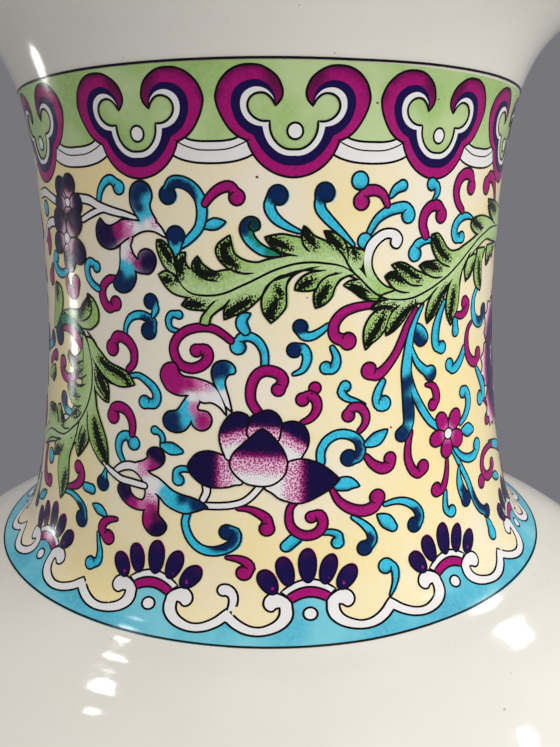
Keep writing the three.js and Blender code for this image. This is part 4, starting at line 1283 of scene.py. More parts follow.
LEFT_VEINS = [
    [(-58, 27.2), (-55, 29), (-52.5, 30.1), (-50, 30.4), (-47.5, 30.5), (-45, 30.9), (-43, 31.9),
     (-41.2, 33.2), (-39.6, 34.4), (-38.2, 35.8), (-36.8, 37.8), (-35.9, 39.8), (-35.3, 42),
     (-35.2, 44.5), (-35.4, 46.8), (-36, 48.8), (-36.8, 50.6), (-37.8, 52.3)],
    [(-35.2, 47.6), (-34, 46.2), (-32.6, 44.8), (-31, 43.9), (-29, 43.4)],
    [(-34.6, 44.8), (-34, 43.2), (-33, 42), (-31.6, 41)], [(-34.5, 42.6), (-34.1, 40.6), (-33.6, 38.8)],
    [(-36.4, 37.4), (-36.3, 35), (-35.8, 33), (-35, 31.5)], [(-39.85, 31.5), (-39.6, 33.2), (-38.9, 34.8)],
    [(-39.1, 30.4), (-38.8, 32.4), (-37.8, 34.4)], [(-41.2, 29.4), (-40.4, 30.8), (-39.9, 32.4)],
    [(-50, 25.6), (-48, 26.1), (-46.4, 26.9), (-45.4, 28), (-44.8, 29.2)],
    [(-49.8, 27.4), (-48.6, 28.6), (-47.2, 29.2), (-46, 29.6)],
    [(-57, 25.4), (-54.4, 27.2), (-51.8, 28.4), (-49, 29), (-46.6, 29.7)],
    [(-40.8, 45.9), (-39.6, 46.1), (-38.3, 46.7)], [(-41.2, 44), (-39.6, 44.3), (-38, 45.2)],
    [(-40.6, 43), (-38.8, 43.2), (-36.9, 44.2)], [(-41.6, 41.6), (-39.4, 41.5), (-37.2, 42.4)],
    [(-42.4, 39.9), (-40.6, 39.2), (-38.8, 39.8)], [(-41.2, 37.5), (-39.6, 37.6), (-38.4, 38)],
    [(-40.9, 35), (-39.4, 35.7), (-38.3, 36.9)], [(-46.8, 32.4), (-44.6, 32.1), (-42.6, 32.7)],
    [(-36.8, 52.4), (-35.2, 51.2), (-33.8, 49.9)], [(-38.6, 54), (-36.2, 54.9), (-35, 56.3), (-35, 58)],
]
LEFT_HATCHED = [
    ((-37.6, 57), 1.3), ((-38.6, 55.6), 1.3), ((-35.7, 58.2), 1.3), ((-48.8, 58.9), 1.5),
    ((-42.2, 46.4), 1.1), ((-40.6, 46.1), 1.1), ((-40, 44), 1.0), ((-42.4, 40.6), 1.4),
    ((-41.2, 40), 1.2), ((-40.6, 36.3), 1.3), ((-46.2, 33.8), 1.3), ((-51, 34.6), 1.5),
    ((-53, 34.5), 1.4), ((-32.4, 47.4), 0.9), ((-30.8, 46.6), 1.2), ((-28.8, 46), 1.1),
    ((-26.8, 45.3), 1.1), ((-33.2, 44.4), 1.3), ((-32, 42.8), 1.4), ((-31.1, 41.6), 1.0),
    ((-33.8, 34.9), 1.3), ((-33, 33), 1.6), ((-32, 31.2), 1.7), ((-31, 29.8), 1.2),
    ((-37.6, 31.6), 1.5), ((-38.3, 29.6), 1.2), ((-43.2, 22.6), 1.3), ((-43.6, 20.6), 1.3),
    ((-48, 27), 1.5), ((-46.8, 27.4), 1.2), ((-52.4, 41.4), 1.1),
]
MIDDLE_LEAVES = [
    ([(-14.7, 63.2), (-16.3, 64), (-17.6, 65), (-18.4, 66.5), (-18.9, 68.1), (-18.85, 69.4)],
     [(-17.9, 69.4), (-17, 68.7), (-16.1, 67.8), (-15.6, 66.6), (-15.5, 64.8), (-14.8, 63.4)]),
    ([(-15, 62.6), (-15.3, 64.4), (-15.2, 65.7), (-15, 67.1), (-13.6, 67.5)],
     [(-13.7, 66), (-13.2, 65), (-12.3, 64)]),
    ([(-12, 63), (-12.45, 64.8), (-12.4, 65.8), (-11.5, 66.9)],
     [(-10.8, 65.8), (-9.8, 65), (-8.6, 64.4), (-7, 64.3), (-6, 63)]),
    ([(-1, 64.3), (-2.4, 64.1), (-5, 64.4), (-6.5, 65.1), (-7.75, 66.3), (-8.3, 67.7), (-7.8, 69),
      (-5.9, 70.3)], [(-5.3, 67.7), (-4.3, 66.7), (-2.7, 66.1), (-1, 66), (1.6, 66.5)]),
    ([(6, 66.4), (2.8, 67.4), (1.4, 68.1), (0.4, 69.1), (-0.13, 70)],
     [(1.1, 70.3), (2.8, 70.5), (4.4, 70.2), (5.75, 69.9), (7.2, 68.6), (8.4, 67)]),
    ([(8.2, 66.6), (6.9, 67.8), (6.2, 69), (5.9, 70.2), (6.3, 71.8)],
     [(7, 71.2), (8, 70.2), (9.6, 69.5), (10.8, 68.8), (12.3, 67.6), (13.5, 66)]),
    ([(11.4, 67.2), (10.6, 68.9), (9.64, 70.95)],
     [(10.8, 70.85), (11.8, 70.5), (13, 69.5), (13.7, 68.1), (13.8, 65.6)]),
    ([(13.6, 65.4), (13.8, 66.8), (13.8, 68.2)], [(15.4, 68.1), (17, 67.5), (16.9, 66.4), (16.2, 64.6)]),
    ([(-13.6, 61.6), (-15.2, 63.5), (-16.5, 64.1), (-17.6, 64.3), (-18.8, 63.7)],
     [(-17.9, 62.2), (-16.7, 61), (-15.3, 60.3), (-12.8, 60)]),
    ([(-11, 60.6), (-12.5, 60.3), (-13.6, 59.8), (-14.6, 58.7)],
     [(-13.4, 58.1), (-11.5, 57.9), (-10.1, 58), (-8.9, 59.2)]),
    ([(-8.6, 60), (-9.9, 58.2), (-11, 56.8), (-11.3, 55.6)], [(-9.85, 55.4), (-9.4, 56.7), (-8.4, 57.7), (-6.6, 58.9)]),
    ([(-5, 61), (-5.9, 59.9), (-6.7, 58.9), (-7.1, 57.7), (-7.06, 56.4)],
     [(-5.7, 57), (-3.4, 58), (-1.7, 59.4), (-0.65, 60.5), (0, 61.7), (1.25, 62.9), (3.7, 64.2)]),
    ([(1, 62.9), (0.2, 61.8), (-0.65, 60.3), (-0.74, 58.7), (-0.3, 57.3), (0.8, 55.9)],
     [(2.1, 57), (3.3, 58.6), (3.4, 60.3), (3.4, 61.8), (3.85, 63.2), (5.6, 64.4), (9, 65.4)]),
    ([(9.9, 64.8), (7.65, 64.3), (6.1, 63.6), (5.1, 62.5), (4.8, 61.4)],
     [(6.1, 61.2), (7.8, 61.3), (9.2, 62.2), (10, 63.4)]),
    ([(12.7, 64.6), (10.2, 63.6), (9, 62.7), (8.2, 61.2), (8, 59.6), (8.35, 58.3)],
     [(9.9, 58.9), (11.1, 60.1), (11.6, 61.5), (12.5, 62.9), (13.9, 63.5), (15.3, 63.8)]),
    ([(17.4, 63.4), (15.6, 62.9), (14.2, 62.7), (13.2, 62)],
     [(15.1, 60.8), (16.3, 59.9), (17.8, 59.3), (19.6, 59.2), (19.8, 61)]),
]
MIDDLE_BLADES = [
    ([(-15, 62.4), (-13, 61.6), (-11, 61.6), (-8.5, 61.9), (-6, 62.3), (-3, 63.1), (0, 64.4),
      (3, 65.4), (6, 66), (9, 65.9), (12, 65.3), (14.5, 64.6), (17, 62.9)],
     (0.9, 1.8, 2.2, 2.5, 2.3, 2.0, 1.8, 1.5, 1.4, 1.4, 1.3, 1.1, 0.6)),
]
MIDDLE_VEINS = [
    [(-15.5, 65.6), (-15.3, 63.6), (-14.6, 62.2), (-13.6, 61.2), (-12.4, 60.6), (-10.5, 60.4),
     (-8.5, 60.5), (-6.5, 61), (-4.5, 61.9), (-2.5, 62.8), (-0.5, 63.8), (1, 64.5), (3, 65.2),
     (5, 65.7), (7.4, 65.9), (10, 65.7), (12.4, 65.3), (14, 64.6), (15.5, 63.5), (17, 62)],
    [(-6.5, 65.1), (-5, 64.4), (-3.5, 64.1), (-2, 64.2)], [(-9.9, 58.2), (-9.3, 58.9), (-8.5, 59.6)],
    [(-9.3, 56.8), (-8, 58), (-6.8, 58.9), (-6, 59.9)], [(-7.1, 57.7), (-6.7, 58.9), (-6, 59.9)],
    [(-0.7, 60.5), (0, 61.8), (1, 62.8), (2.2, 63.6), (3.8, 64.1)],
    [(3.4, 61.8), (3.9, 63), (4.9, 64), (6.5, 64.7), (8.9, 65.2)],
    [(4.9, 61.7), (5.3, 62.7), (6.2, 63.6), (7.7, 64.3), (10.1, 64.6)],
    [(8.1, 60.6), (9, 62.5), (10.4, 63.6), (12.8, 64.1)], [(11.6, 61.5), (12.5, 62.8), (13.8, 63.5), (15.2, 63.7)],
    [(13.6, 62.2), (15.4, 61.9), (17, 61.2), (18.2, 60.5)],
    [(0.8, 69), (2.2, 67.7), (3.8, 67.2), (5.3, 66.95)], [(5.9, 70.2), (6.1, 69), (6.6, 68.2), (7.3, 67.6)],
    [(10.4, 69.4), (12, 68.1), (13.2, 66.7), (13.9, 65.4), (15, 64), (16.4, 62.8), (17.4, 61.8)],
    [(-16.6, 68.4), (-15.8, 67), (-15.5, 65.4)], [(-17.4, 64.3), (-16.2, 64), (-15.2, 63), (-14.4, 62)],
    [(-12.5, 64.9), (-11.5, 63.9), (-10, 63.1), (-8, 62.8)], [(-7.6, 66.4), (-6, 65.6), (-4.4, 65.5)],
]
MIDDLE_HATCHED = [
    ((-17.6, 68), 1.2), ((-16.6, 66.4), 1.1), ((-14.4, 66), 1.2), ((-14.6, 64.4), 1.0), ((-11.6, 65.6), 1.2),
    ((-11, 64.3), 1.2), ((-9, 63.9), 0.9), ((-6.8, 68.6), 1.2), ((-6.8, 67), 1.3), ((-5.6, 65.8), 1.1),
    ((1.2, 69.4), 1.2), ((3, 68.6), 1.0), ((6.6, 70.6), 1.1), ((7.6, 69.2), 1.0), ((10.6, 70), 1.1),
    ((12.2, 68.6), 1.0), ((-17.2, 62.8), 1.3), ((-13.2, 58.9), 1.2), ((-11.6, 58.8), 1.1), ((-6.4, 57.4), 1.2),
    ((-5, 58.4), 1.2), ((-3.2, 59.4), 1.1), ((0.6, 57.4), 1.3), ((1.4, 59), 1.3), ((2.2, 61), 0.9),
    ((5.8, 61.9), 1.1), ((7, 62.6), 1.0), ((8.9, 59.6), 1.2), ((9.8, 61), 1.2), ((15, 61.6), 1.1),
    ((16.6, 60.6), 1.1), ((15, 67.4), 0.9),
]
RIGHT_LEAVES = [
    ([(26.4, 59.8), (24.4, 60.4), (23, 60.9), (21.8, 62), (20.9, 63.2)],
     [(22, 63.9), (23.6, 63.8), (24.6, 63), (26, 61.9), (27.4, 60.8)]),
    ([(27, 60.6), (25.4, 62), (24, 63.2), (22.9, 64.4), (22.2, 65.1)],
     [(23.6, 65.5), (25, 65.3), (26.4, 64.6), (27.8, 63.9), (29.4, 63.3), (30.8, 62)]),
    ([(31, 61.8), (30, 63.1), (29, 64), (28.2, 64.7)], [(29.4, 65.3), (31, 65.4), (32.8, 65.4), (34.8, 64)]),
    ([(35, 63.8), (32.5, 65.8), (31.4, 67.2), (30.9, 68.5), (30.9, 70)],
     [(32.4, 70.2), (33.6, 69.3), (34.8, 68), (36, 67.2), (37.5, 67), (39, 67.1), (41, 66.2)]),
    ([(50, 70), (47.5, 69.4), (46, 69.6), (44, 70.2), (42.7, 71.3), (43, 72.5)],
     [(44.8, 72.9), (47, 73.1), (49.5, 72.9), (52, 72.5), (54, 72), (55.5, 71.4), (55.5, 70.4)]),
    ([(57, 70.8), (55, 72), (52.5, 73.3), (50.5, 75.3), (50, 76.1)],
     [(52, 76), (54, 75.9), (57, 75.4), (63, 74), (65, 71.6)]),
    ([(22.6, 59.4), (19.5, 59), (18.2, 57.8)], [(20.5, 57.3), (22, 57.2), (23.6, 58.3)]),
    ([(22.8, 58.8), (21.2, 57.9), (19.3, 57.4), (18, 56.3), (17.1, 54.5), (17, 52.5), (17.4, 50.8)],
     [(18.5, 51.8), (20, 52.8), (21.3, 54.4), (22, 56.2), (23.6, 58)]),
    ([(25.2, 59), (24.2, 58.2), (23, 57.5), (22, 56.3), (21.3, 54.5), (21.4, 53)],
     [(22.8, 53.6), (24.3, 54.7), (25.5, 56), (26.5, 57.2), (28, 58), (29.6, 58.3), (31, 59.6)]),
    ([(34, 61.4), (33, 60.7), (31.5, 59.3), (30.6, 57.8), (30.2, 56), (30.6, 54.4)],
     [(31.8, 55.2), (33, 56.2), (34.3, 57.7), (35, 59), (35.3, 60.3), (36.3, 61.4), (37.6, 62.6)]),
    ([(37.2, 62.2), (36.3, 60.5), (35.7, 58.5), (35.7, 56.5), (36.2, 54.9), (37.3, 53.4)],
     [(38.2, 54.8), (39.2, 56.2), (39.6, 58), (39.7, 60), (40.2, 62.5), (41, 64.8)]),
    ([(41.6, 65.2), (41.3, 64), (41.5, 62.5), (42, 61.1)], [(43, 62), (44.5, 63), (45, 64), (45.4, 66)]),
    ([(46.4, 67), (45.4, 64.5), (45.2, 62.7), (45.8, 60.8), (47, 59.5), (48.8, 58.8)],
     [(49.3, 60), (49.1, 62), (49, 64), (49.3, 65.8), (50.2, 67)]),
    ([(51.8, 67.4), (51.3, 65.4), (51.8, 63.5)], [(53, 63.8), (55, 65), (58, 66.5), (63, 67.6)]),
]
RIGHT_BLADES = [
    ([(20.4, 59.6), (23, 59.7), (26, 60.2), (29, 60.6), (32, 61.6), (35, 63), (38, 64.6), (41, 66.2),
      (44, 67.6), (47, 68.8), (50, 69.6), (53.5, 70), (57, 70.2), (66, 70)],
     (0.5, 1.3, 1.9, 2.2, 2.3, 2.1, 1.7, 1.3, 1.2, 1.2, 2.0, 2.4, 2.8, 3.2)),
]
RIGHT_VEINS = [
    [(16, 60.2), (18.2, 59.6), (20.3, 59.5), (22, 59.3), (23.8, 59.1), (25.6, 59.1), (27.6, 59.4),
     (29.5, 60), (31.5, 60.7), (33.5, 61.6), (35.5, 62.5), (37.6, 63.7), (40.2, 65.3), (42, 66.5),
     (44, 67.6), (46, 68.7), (48, 69.4), (50, 70), (52, 70.5), (54, 70.8), (58, 70.9), (66, 71)],
    [(16.6, 62.7), (17.6, 61.6), (18.8, 60.6), (20.2, 59.8), (21.6, 59.4)],
    [(21.3, 62.6), (22.2, 61.5), (23.4, 60.7), (24.8, 60.3), (26.2, 60.2)],
    [(23.9, 63.2), (25, 62.4), (26.2, 61.6), (27.6, 61.3), (29.2, 61.3)],
    [(28.9, 63.6), (30.2, 63.1), (31.4, 62.6), (32.8, 62.4), (34.3, 62.5)],
    [(32.6, 65.6), (33.5, 65), (34.8, 64.5), (36.3, 64.1)], [(22, 56.2), (22.8, 57.4), (24.2, 58.2)],
    [(29.4, 58.2), (30.6, 58.9), (31.8, 59.8), (33.1, 60.8)], [(34.6, 58.6), (35.5, 60), (36.4, 61.1), (37.3, 61.9)],
    [(39.5, 60.6), (40, 62.6), (41.2, 64.4), (43, 66.4)], [(41.4, 63.4), (42, 64.8), (43.2, 66.4)],
    [(45.3, 63.6), (45.7, 65.2), (46.3, 66.4)], [(49.3, 65), (50, 66.3), (51.2, 66.8)],
    [(43.4, 71.6), (45, 71.2), (46.7, 70.8), (48.6, 70.8)],
    [(50.2, 74.9), (51.4, 73.6), (53, 72.6), (55, 71.8), (58, 71.1)],
    [(18.4, 57.8), (19.2, 58.6), (20.4, 59.1), (21.6, 59.2)],
]
RIGHT_HATCHED = [
    ((21.4, 63.3), 0.9), ((22.8, 63.2), 1.1), ((24.1, 62.6), 0.9), ((23.4, 65), 0.9), ((25, 64.4), 1.0),
    ((26.4, 63.5), 0.9), ((27.8, 62.7), 0.6), ((29.4, 64.8), 0.9), ((31, 64.6), 1.2), ((32.6, 64.1), 0.8),
    ((31.7, 69.2), 1.4), ((32.6, 67.9), 1.4), ((33.8, 66.7), 1.1), ((35.2, 65.9), 0.8), ((18.9, 57.8), 0.6),
    ((20.6, 58), 0.8), ((22.2, 57.9), 0.7), ((17.7, 51.8), 0.9), ((18.5, 53), 1.2), ((19.5, 54.4), 1.2),
    ((20.4, 55.8), 1.0), ((21.9, 53.5), 0.7), ((22.9, 54.5), 1.0), ((24, 55.7), 1.1), ((25.4, 56.9), 1.0),
    ((26.9, 57.8), 0.7), ((30.9, 55), 0.9), ((31.8, 56.2), 1.1), ((32.8, 57.4), 1.1), ((33.9, 58.8), 0.9),
    ((34.8, 60), 0.7), ((37, 55.2), 1.1), ((37.4, 57.2), 1.1), ((37.8, 59.2), 0.9), ((42.6, 61.6), 0.7),
    ((43.7, 62.4), 0.9), ((44.4, 63.5), 0.8), ((48.6, 60.2), 1.1), ((47.8, 61.8), 1.2), ((47.4, 63.8), 1.1),
    ((52.4, 64.3), 1.0), ((54.4, 65), 1.2), ((56.4, 65.8), 1.4), ((43.6, 72), 0.9), ((45, 71.6), 1.1),
    ((46.6, 71.1), 0.9), ((51.6, 75.2), 1.2), ((53.6, 74.6), 1.4), ((55.6, 74.2), 1.4),
]


def hatch_runs(hatched, tips):
    """The hatched places in runs: each is one dark stroke that starts at the tip of its leaf."""
    runs = []
    for spot, size in hatched:
        if runs and math.dist(spot, runs[-1][-1][0]) < 2.15:
            runs[-1].append((spot, size))
        else:
            runs.append([(spot, size)])
    for run in runs:
        near = [min(math.dist(run[end][0], tip) for tip in tips) for end in (0, -1)]
        if near[1] < near[0]:
            run.reverse()
        tip = min(tips, key=lambda place: math.dist(run[0][0], place))
        if math.dist(run[0][0], tip) < 3.2:
            run.insert(0, (tip, 0.3))
    return runs


def hatch_core(run, spine):
    """The solid part of one dark stroke, its centreline and the half width along it."""
    places = np.array([spot for spot, _ in run], float)
    sizes = np.array([size for _, size in run]) * 0.5
    if len(run) == 1:
        root = spine[np.argmin(np.linalg.norm(spine - places[0], axis=1))]
        places = np.vstack([places + (places - root) * 0.2, places])
        sizes = np.array((0.1, sizes[0]))
    way = places[-1] - places[-2]
    tail = places[-1] + way / max(np.linalg.norm(way), 1e-6) * sizes[-1] * 2
    route, halves = np.vstack([places, tail]), np.append(sizes, 0.03)
    line = smooth_line(route, SAMPLE)
    reached, along = (np.append(0, np.cumsum(np.linalg.norm(np.diff(run_, axis=0), axis=1)))
                      for run_ in (route, line))
    return line, np.interp(along / along[-1], reached / reached[-1], halves)


def branch(leaves, blades, veins, hatched, level, gussets):
    """A leafy branch: leaves and blades in one green mass, with its hatching and its veins.
    Gussets are the crotches that the green closes, each a place and its width across."""
    loops = [stroke_loop(*stroke(route, widths, 0)) for route, widths in blades]
    loops = [closed_curve([left, [left[-1]] + right]) for left, right in leaves] + loops
    spine = smooth_line(veins[0], 0.8)
    tips = [tuple(np.array(left[-1]) * 0.5 + np.array(right[0]) * 0.5) for left, right in leaves]
    cores = [hatch_core(run, spine) for run in hatch_runs(hatched, tips)]
    centres = np.vstack([line for line, _ in cores])
    reach = np.concatenate([np.maximum(halves, 0.3) for _, halves in cores])

    def paint(places):
        away = np.min(np.linalg.norm(places[:, None] - spine[None], axis=2), axis=1)
        pale = np.clip(1.1 - away / 3.2, 0, 1)[:, None]
        return pale * np.array(LEAF_PALE) + (1 - pale) * np.array(LEAF)

    def dots(places):
        away = np.linalg.norm(places[:, None] - centres[None], axis=2)
        near = np.clip(1.5 - away / (1.35 * reach + 0.5), 0, 1).max(axis=1)
        return np.column_stack([np.tile(LEAF_INK[:3], (len(places), 1)), 0.62 * near])

    sheets = [spilled(loop, (0.5, 0.05), SPILLED_GREEN) for loop in loops]
    sheets += merged(loops, paint, dots, LEAF_INK, level, 0.7, 0.2)
    top = level + 0.03 * len(loops) + 1
    for middle, width in gussets:
        loop = disc_loop(middle, width / 2 + 0.35)
        sheets.append(painted_patch(loop, paint, dots, None, top - 0.1, 0.7))
    for line, halves in cores:
        sheets.append(painted_patch(stroke_loop(line, halves), flat_paint(LEAF_INK), None, None, top))
    for k, vein in enumerate(veins):
        sheets.append(ink_line(vein, 0.2, top + 0.1 + 0.01 * k, LEAF_INK, 3.2))
    return sheets


left_branch = laid("left_branch", branch(
    LEFT_LEAVES, LEFT_BLADES, LEFT_VEINS, LEFT_HATCHED, 2.2,
    [((-40.4, 31.5), 1.3), ((-36.4, 35.7), 0.6), ((-34.8, 46.8), 0.5)]), painted, 2)
middle_branch = laid("middle_branch", branch(
    MIDDLE_LEAVES, MIDDLE_BLADES, MIDDLE_VEINS, MIDDLE_HATCHED, 2.2,
    [((-6.8, 59.5), 1.8), ((-9.1, 59.5), 0.5), ((-12.8, 63.4), 1.8), ((10.4, 64), 1.5)]), painted, 2)
right_branch = laid("right_branch", branch(
    RIGHT_LEAVES, RIGHT_BLADES, RIGHT_VEINS, RIGHT_HATCHED, 3.4,
    [((23.9, 58.3), 1.4), ((25.2, 61.8), 1.2)]), painted, 2)


# The acanthus sprays: fleshy leaves and round buds that run into each other, shaded from white
# into turquoise and navy or into magenta and violet, with a thin line of ink round each spray.
DEEP_VIOLET = colour(15, 4, 57)
PALE_ROSE = colour(226, 184, 206)
FOOT_SPRAY = [
    stroke_loop(*stroke([(-28.3, 27.5), (-27.2, 28.4), (-25.7, 29.1), (-24, 29.2), (-22.2, 28.5),
                         (-20.9, 27.2), (-20.4, 25.6), (-20.6, 23.8), (-21.5, 22.7), (-22.9, 22.5),
                         (-24.3, 22.9), (-25.4, 23.7), (-26, 24.6)],
                        (0.5, 0.75, 0.8, 1.1, 1.1, 1.0, 0.95, 1.1, 1.4), 1.4)),
    stroke_loop(*stroke([(-23.4, 29.3), (-21.6, 29.8), (-20.3, 30.5), (-19.6, 31.6)], (0.8, 1.1, 1.6), 1.8)),
    closed_curve([[(-20.9, 28.6), (-19.1, 28), (-17.9, 27.3), (-16.2, 26.1), (-14.4, 25.5),
                   (-12.7, 25.2), (-11, 24.6), (-9.8, 23.7)],
                  [(-9.8, 23.7), (-11.8, 22.8), (-13.75, 22.2), (-15.7, 22.6), (-17.4, 23.4),
                   (-18.8, 24.7), (-20.6, 25.6)]]),
    closed_curve([[(-20.6, 25.4), (-18.9, 24.6), (-18.7, 22.8), (-18.6, 21.4), (-17.7, 20.5), (-17, 19.6),
                   (-17.2, 18.6), (-18.1, 17.7), (-19.3, 17.5), (-20.3, 17.9), (-21.2, 18.8),
                   (-21.6, 20), (-21.5, 21.5), (-20.9, 23.2)]]),
]
CROSSING_STEM = ([(-31.2, 28.6), (-29.5, 27.6), (-28, 26.9), (-26.5, 26.4), (-24.5, 26.3), (-21.6, 26.1)],
                 (0.3, 0.6, 0.65, 0.65, 0.6), 0)
FOOT_COLOURS = [
    ((-28, 27.5), WHITE), ((-25.5, 29.1), WHITE), ((-24, 29.3), WHITE), ((-20.5, 27), WHITE),
    ((-20, 25.6), WHITE), ((-19.4, 26.4), WHITE), ((-22.5, 29.2), PALE_ROSE), ((-21.6, 30), ROSE),
    ((-20.4, 29.8), MAGENTA), ((-19.8, 31.9), DEEP_VIOLET), ((-18.8, 31.4), DEEP_VIOLET),
    ((-20.6, 32.6), DEEP_VIOLET), ((-17.9, 25.6), TURQUOISE), ((-16.6, 25.2), TURQUOISE),
    ((-16.3, 23.6), TURQUOISE), ((-14.3, 24.6), NAVY), ((-13.9, 23.2), TURQUOISE), ((-12.2, 23.9), NAVY),
    ((-10.5, 23.8), NAVY), ((-20.3, 24.2), PALE_ROSE), ((-20.2, 22.6), MAGENTA), ((-20.7, 20.2), MAGENTA),
    ((-19.2, 18.9), DEEP_VIOLET), ((-18.1, 19.3), DEEP_VIOLET), ((-19.2, 21), MAGENTA_DARK),
    ((-22, 22.8), ROSE), ((-23.6, 22.6), MAGENTA), ((-25.2, 23.9), DEEP_VIOLET),
    ((-26.2, 25), DEEP_VIOLET),
]
HIGH_SPRAY = [
    closed_curve([[(-31.1, 72.9), (-30.5, 72.4), (-29.7, 71.8), (-28.5, 71.7), (-27, 72.2),
                   (-25.9, 72.7), (-24.3, 72.75), (-22.3, 72.6), (-20.5, 72.9), (-18.8, 72.4),
                   (-17.5, 71), (-16.9, 69.7)],
                  [(-16.9, 69.7), (-17.9, 70.15), (-19.1, 70.7), (-20.5, 70.85), (-21.9, 70.6),
                   (-23.3, 70), (-24.6, 69.3), (-25.9, 68.8), (-27, 68.1), (-29, 67.6), (-31, 68.1),
                   (-32.1, 69.1), (-32.4, 70.5), (-32, 71.9)]]),
    closed_curve([[(-25.9, 69.9), (-26.5, 68.4), (-26.7, 67.2), (-26.8, 65.65), (-27.1, 64.3),
                   (-27.9, 63.06), (-28.5, 62.2), (-28.6, 61.3), (-27.9, 60.6), (-26.6, 60.2), (-25, 60.6),
                   (-23.8, 61.85), (-23.4, 63.2), (-23.6, 64.4), (-24, 66.2), (-24.3, 68.2),
                   (-23.7, 69.7), (-24.6, 70.6)]]),
    closed_curve([[(-25.4, 66.4), (-24.2, 64.5), (-23.1, 63.9), (-21.9, 63.7), (-20.5, 63.75), (-19.5, 64.8),
                   (-19.2, 66.2), (-19.8, 67.4), (-21, 67.9), (-22.06, 67.6), (-22.7, 66.9),
                   (-22.8, 66)], [(-22.8, 66), (-23.8, 67), (-24.4, 68.4), (-25.2, 68)]]),
    closed_curve([[(-19.6, 71.9), (-18.7, 72.4), (-19.5, 73.9), (-19.8, 75.1), (-19.3, 76.6), (-19.8, 78.2),
                   (-21.2, 79), (-22.75, 78.6), (-23.6, 77.5), (-23.8, 75.8), (-23.5, 74.6), (-22.6, 73.3),
                   (-21.6, 72.1)]]),
]
HIGH_COLOURS = [
    ((-31.2, 70.5), DEEP_VIOLET), ((-29.7, 69.4), DEEP_VIOLET), ((-29.2, 70.9), DEEP_VIOLET),
    ((-28, 69.4), VIOLET), ((-26.7, 70), MAGENTA), ((-26.4, 71.6), MAGENTA), ((-25, 71), ROSE),
    ((-24, 72), PALE_ROSE), ((-22.8, 71.5), WHITE), ((-20.5, 71.8), WHITE), ((-18.3, 70.9), WHITE),
    ((-25.6, 68.2), WHITE), ((-25.9, 66.9), WHITE), ((-26, 65.2), TURQUOISE), ((-25, 64), TURQUOISE),
    ((-24.2, 64.8), TURQUOISE), ((-26.9, 63.4), NAVY), ((-27.2, 61.8), NAVY), ((-25.4, 61.6), NAVY),
    ((-24.4, 62.5), NAVY), ((-24.6, 66.6), PALE_ROSE), ((-23.4, 65.3), MAGENTA), ((-21.6, 65.6), DEEP_VIOLET),
    ((-20.3, 66), DEEP_VIOLET), ((-22.2, 76.5), NAVY), ((-20.9, 77.6), NAVY), ((-21.9, 74.6), NAVY),
    ((-20.3, 75.8), TURQUOISE), ((-20.2, 73.8), TURQUOISE), ((-22, 73), TURQUOISE),
    ((-19, 72.3), PALE_ROSE),
]
WAIST_SPRAY = [
    closed_curve([[(-16.2, 48.8), (-15.6, 48.2), (-15.3, 47.2), (-14.4, 46.5), (-12.4, 46.3), (-10.3, 45.8),
                   (-9.1, 45.2), (-8, 44), (-7, 41.6), (-6.8, 40)],
                  [(-6.8, 40), (-8, 41.4), (-9.4, 42.1), (-10.8, 42), (-12, 42.5), (-13.6, 43.1), (-15, 43),
                   (-16.3, 43.25), (-17.6, 43.9), (-18.6, 45.3), (-18.9, 46.5), (-18.4, 47.9),
                   (-17.4, 48.6)]]),
    closed_curve([[(-12.2, 43.5), (-13.1, 43.5), (-13.9, 42.9), (-14.6, 41.9), (-15.65, 40.5),
                   (-17.4, 40), (-18.25, 38.75), (-17.9, 37.4), (-16.7, 36.6), (-15.3, 36.5),
                   (-14.1, 37), (-13.2, 38.06), (-12.7, 39.3), (-12.2, 40.6), (-11.4, 42.4)]]),
    stroke_loop(*stroke([(-12.2, 42.4), (-12.3, 41), (-11.8, 39.8), (-11.15, 39)], (0.6, 0.5, 1.2), 1.85)),
    closed_curve([[(-5.8, 40.6), (-6, 41.6), (-6.3, 42.9), (-6.7, 44.2), (-7, 45.4), (-6.9, 46.3), (-6.4, 47),
                   (-5.9, 47.15), (-5.4, 47.3), (-5.2, 47.8), (-5.4, 48.5), (-6.1, 49.2), (-7.2, 49.5),
                   (-8.4, 49.2), (-9.1, 48.5), (-9.4, 47.4), (-9.2, 46.2), (-8.7, 45), (-7.8, 43.2), (-7, 41.6)],
                  [(-7, 41.6), (-5.8, 40.6)]]),
]
WAIST_COLOURS = [
    ((-17, 46), MAGENTA), ((-17.5, 47.2), MAGENTA), ((-16, 43.9), MAGENTA), ((-15, 45), MAGENTA),
    ((-15.6, 47), MAGENTA), ((-13.2, 45), MAGENTA), ((-11.6, 45.2), ROSE),
    ((-10.2, 44.8), PALE_ROSE), ((-10.6, 43.3), WHITE), ((-8.7, 43.2), WHITE), ((-7.6, 41.6), WHITE),
    ((-14.3, 40.7), TURQUOISE), ((-13.7, 39), TURQUOISE), ((-14.2, 41.9), TURQUOISE),
    ((-12.9, 42.9), WHITE), ((-16.9, 38.4), NAVY), ((-16, 37.4), NAVY), ((-16, 39.3), NAVY),
    ((-11.1, 39), MAGENTA), ((-12.5, 41.1), ROSE), ((-7.5, 48.3), NAVY), ((-8.4, 47.4), NAVY),
    ((-8.5, 46.6), NAVY), ((-7.4, 47.3), NAVY), ((-6.6, 48.1), NAVY), ((-5.6, 48), TURQUOISE),
    ((-7.8, 45.8), TURQUOISE), ((-7.5, 45), TURQUOISE), ((-7.2, 43.8), WHITE), ((-6.4, 42), WHITE),
]
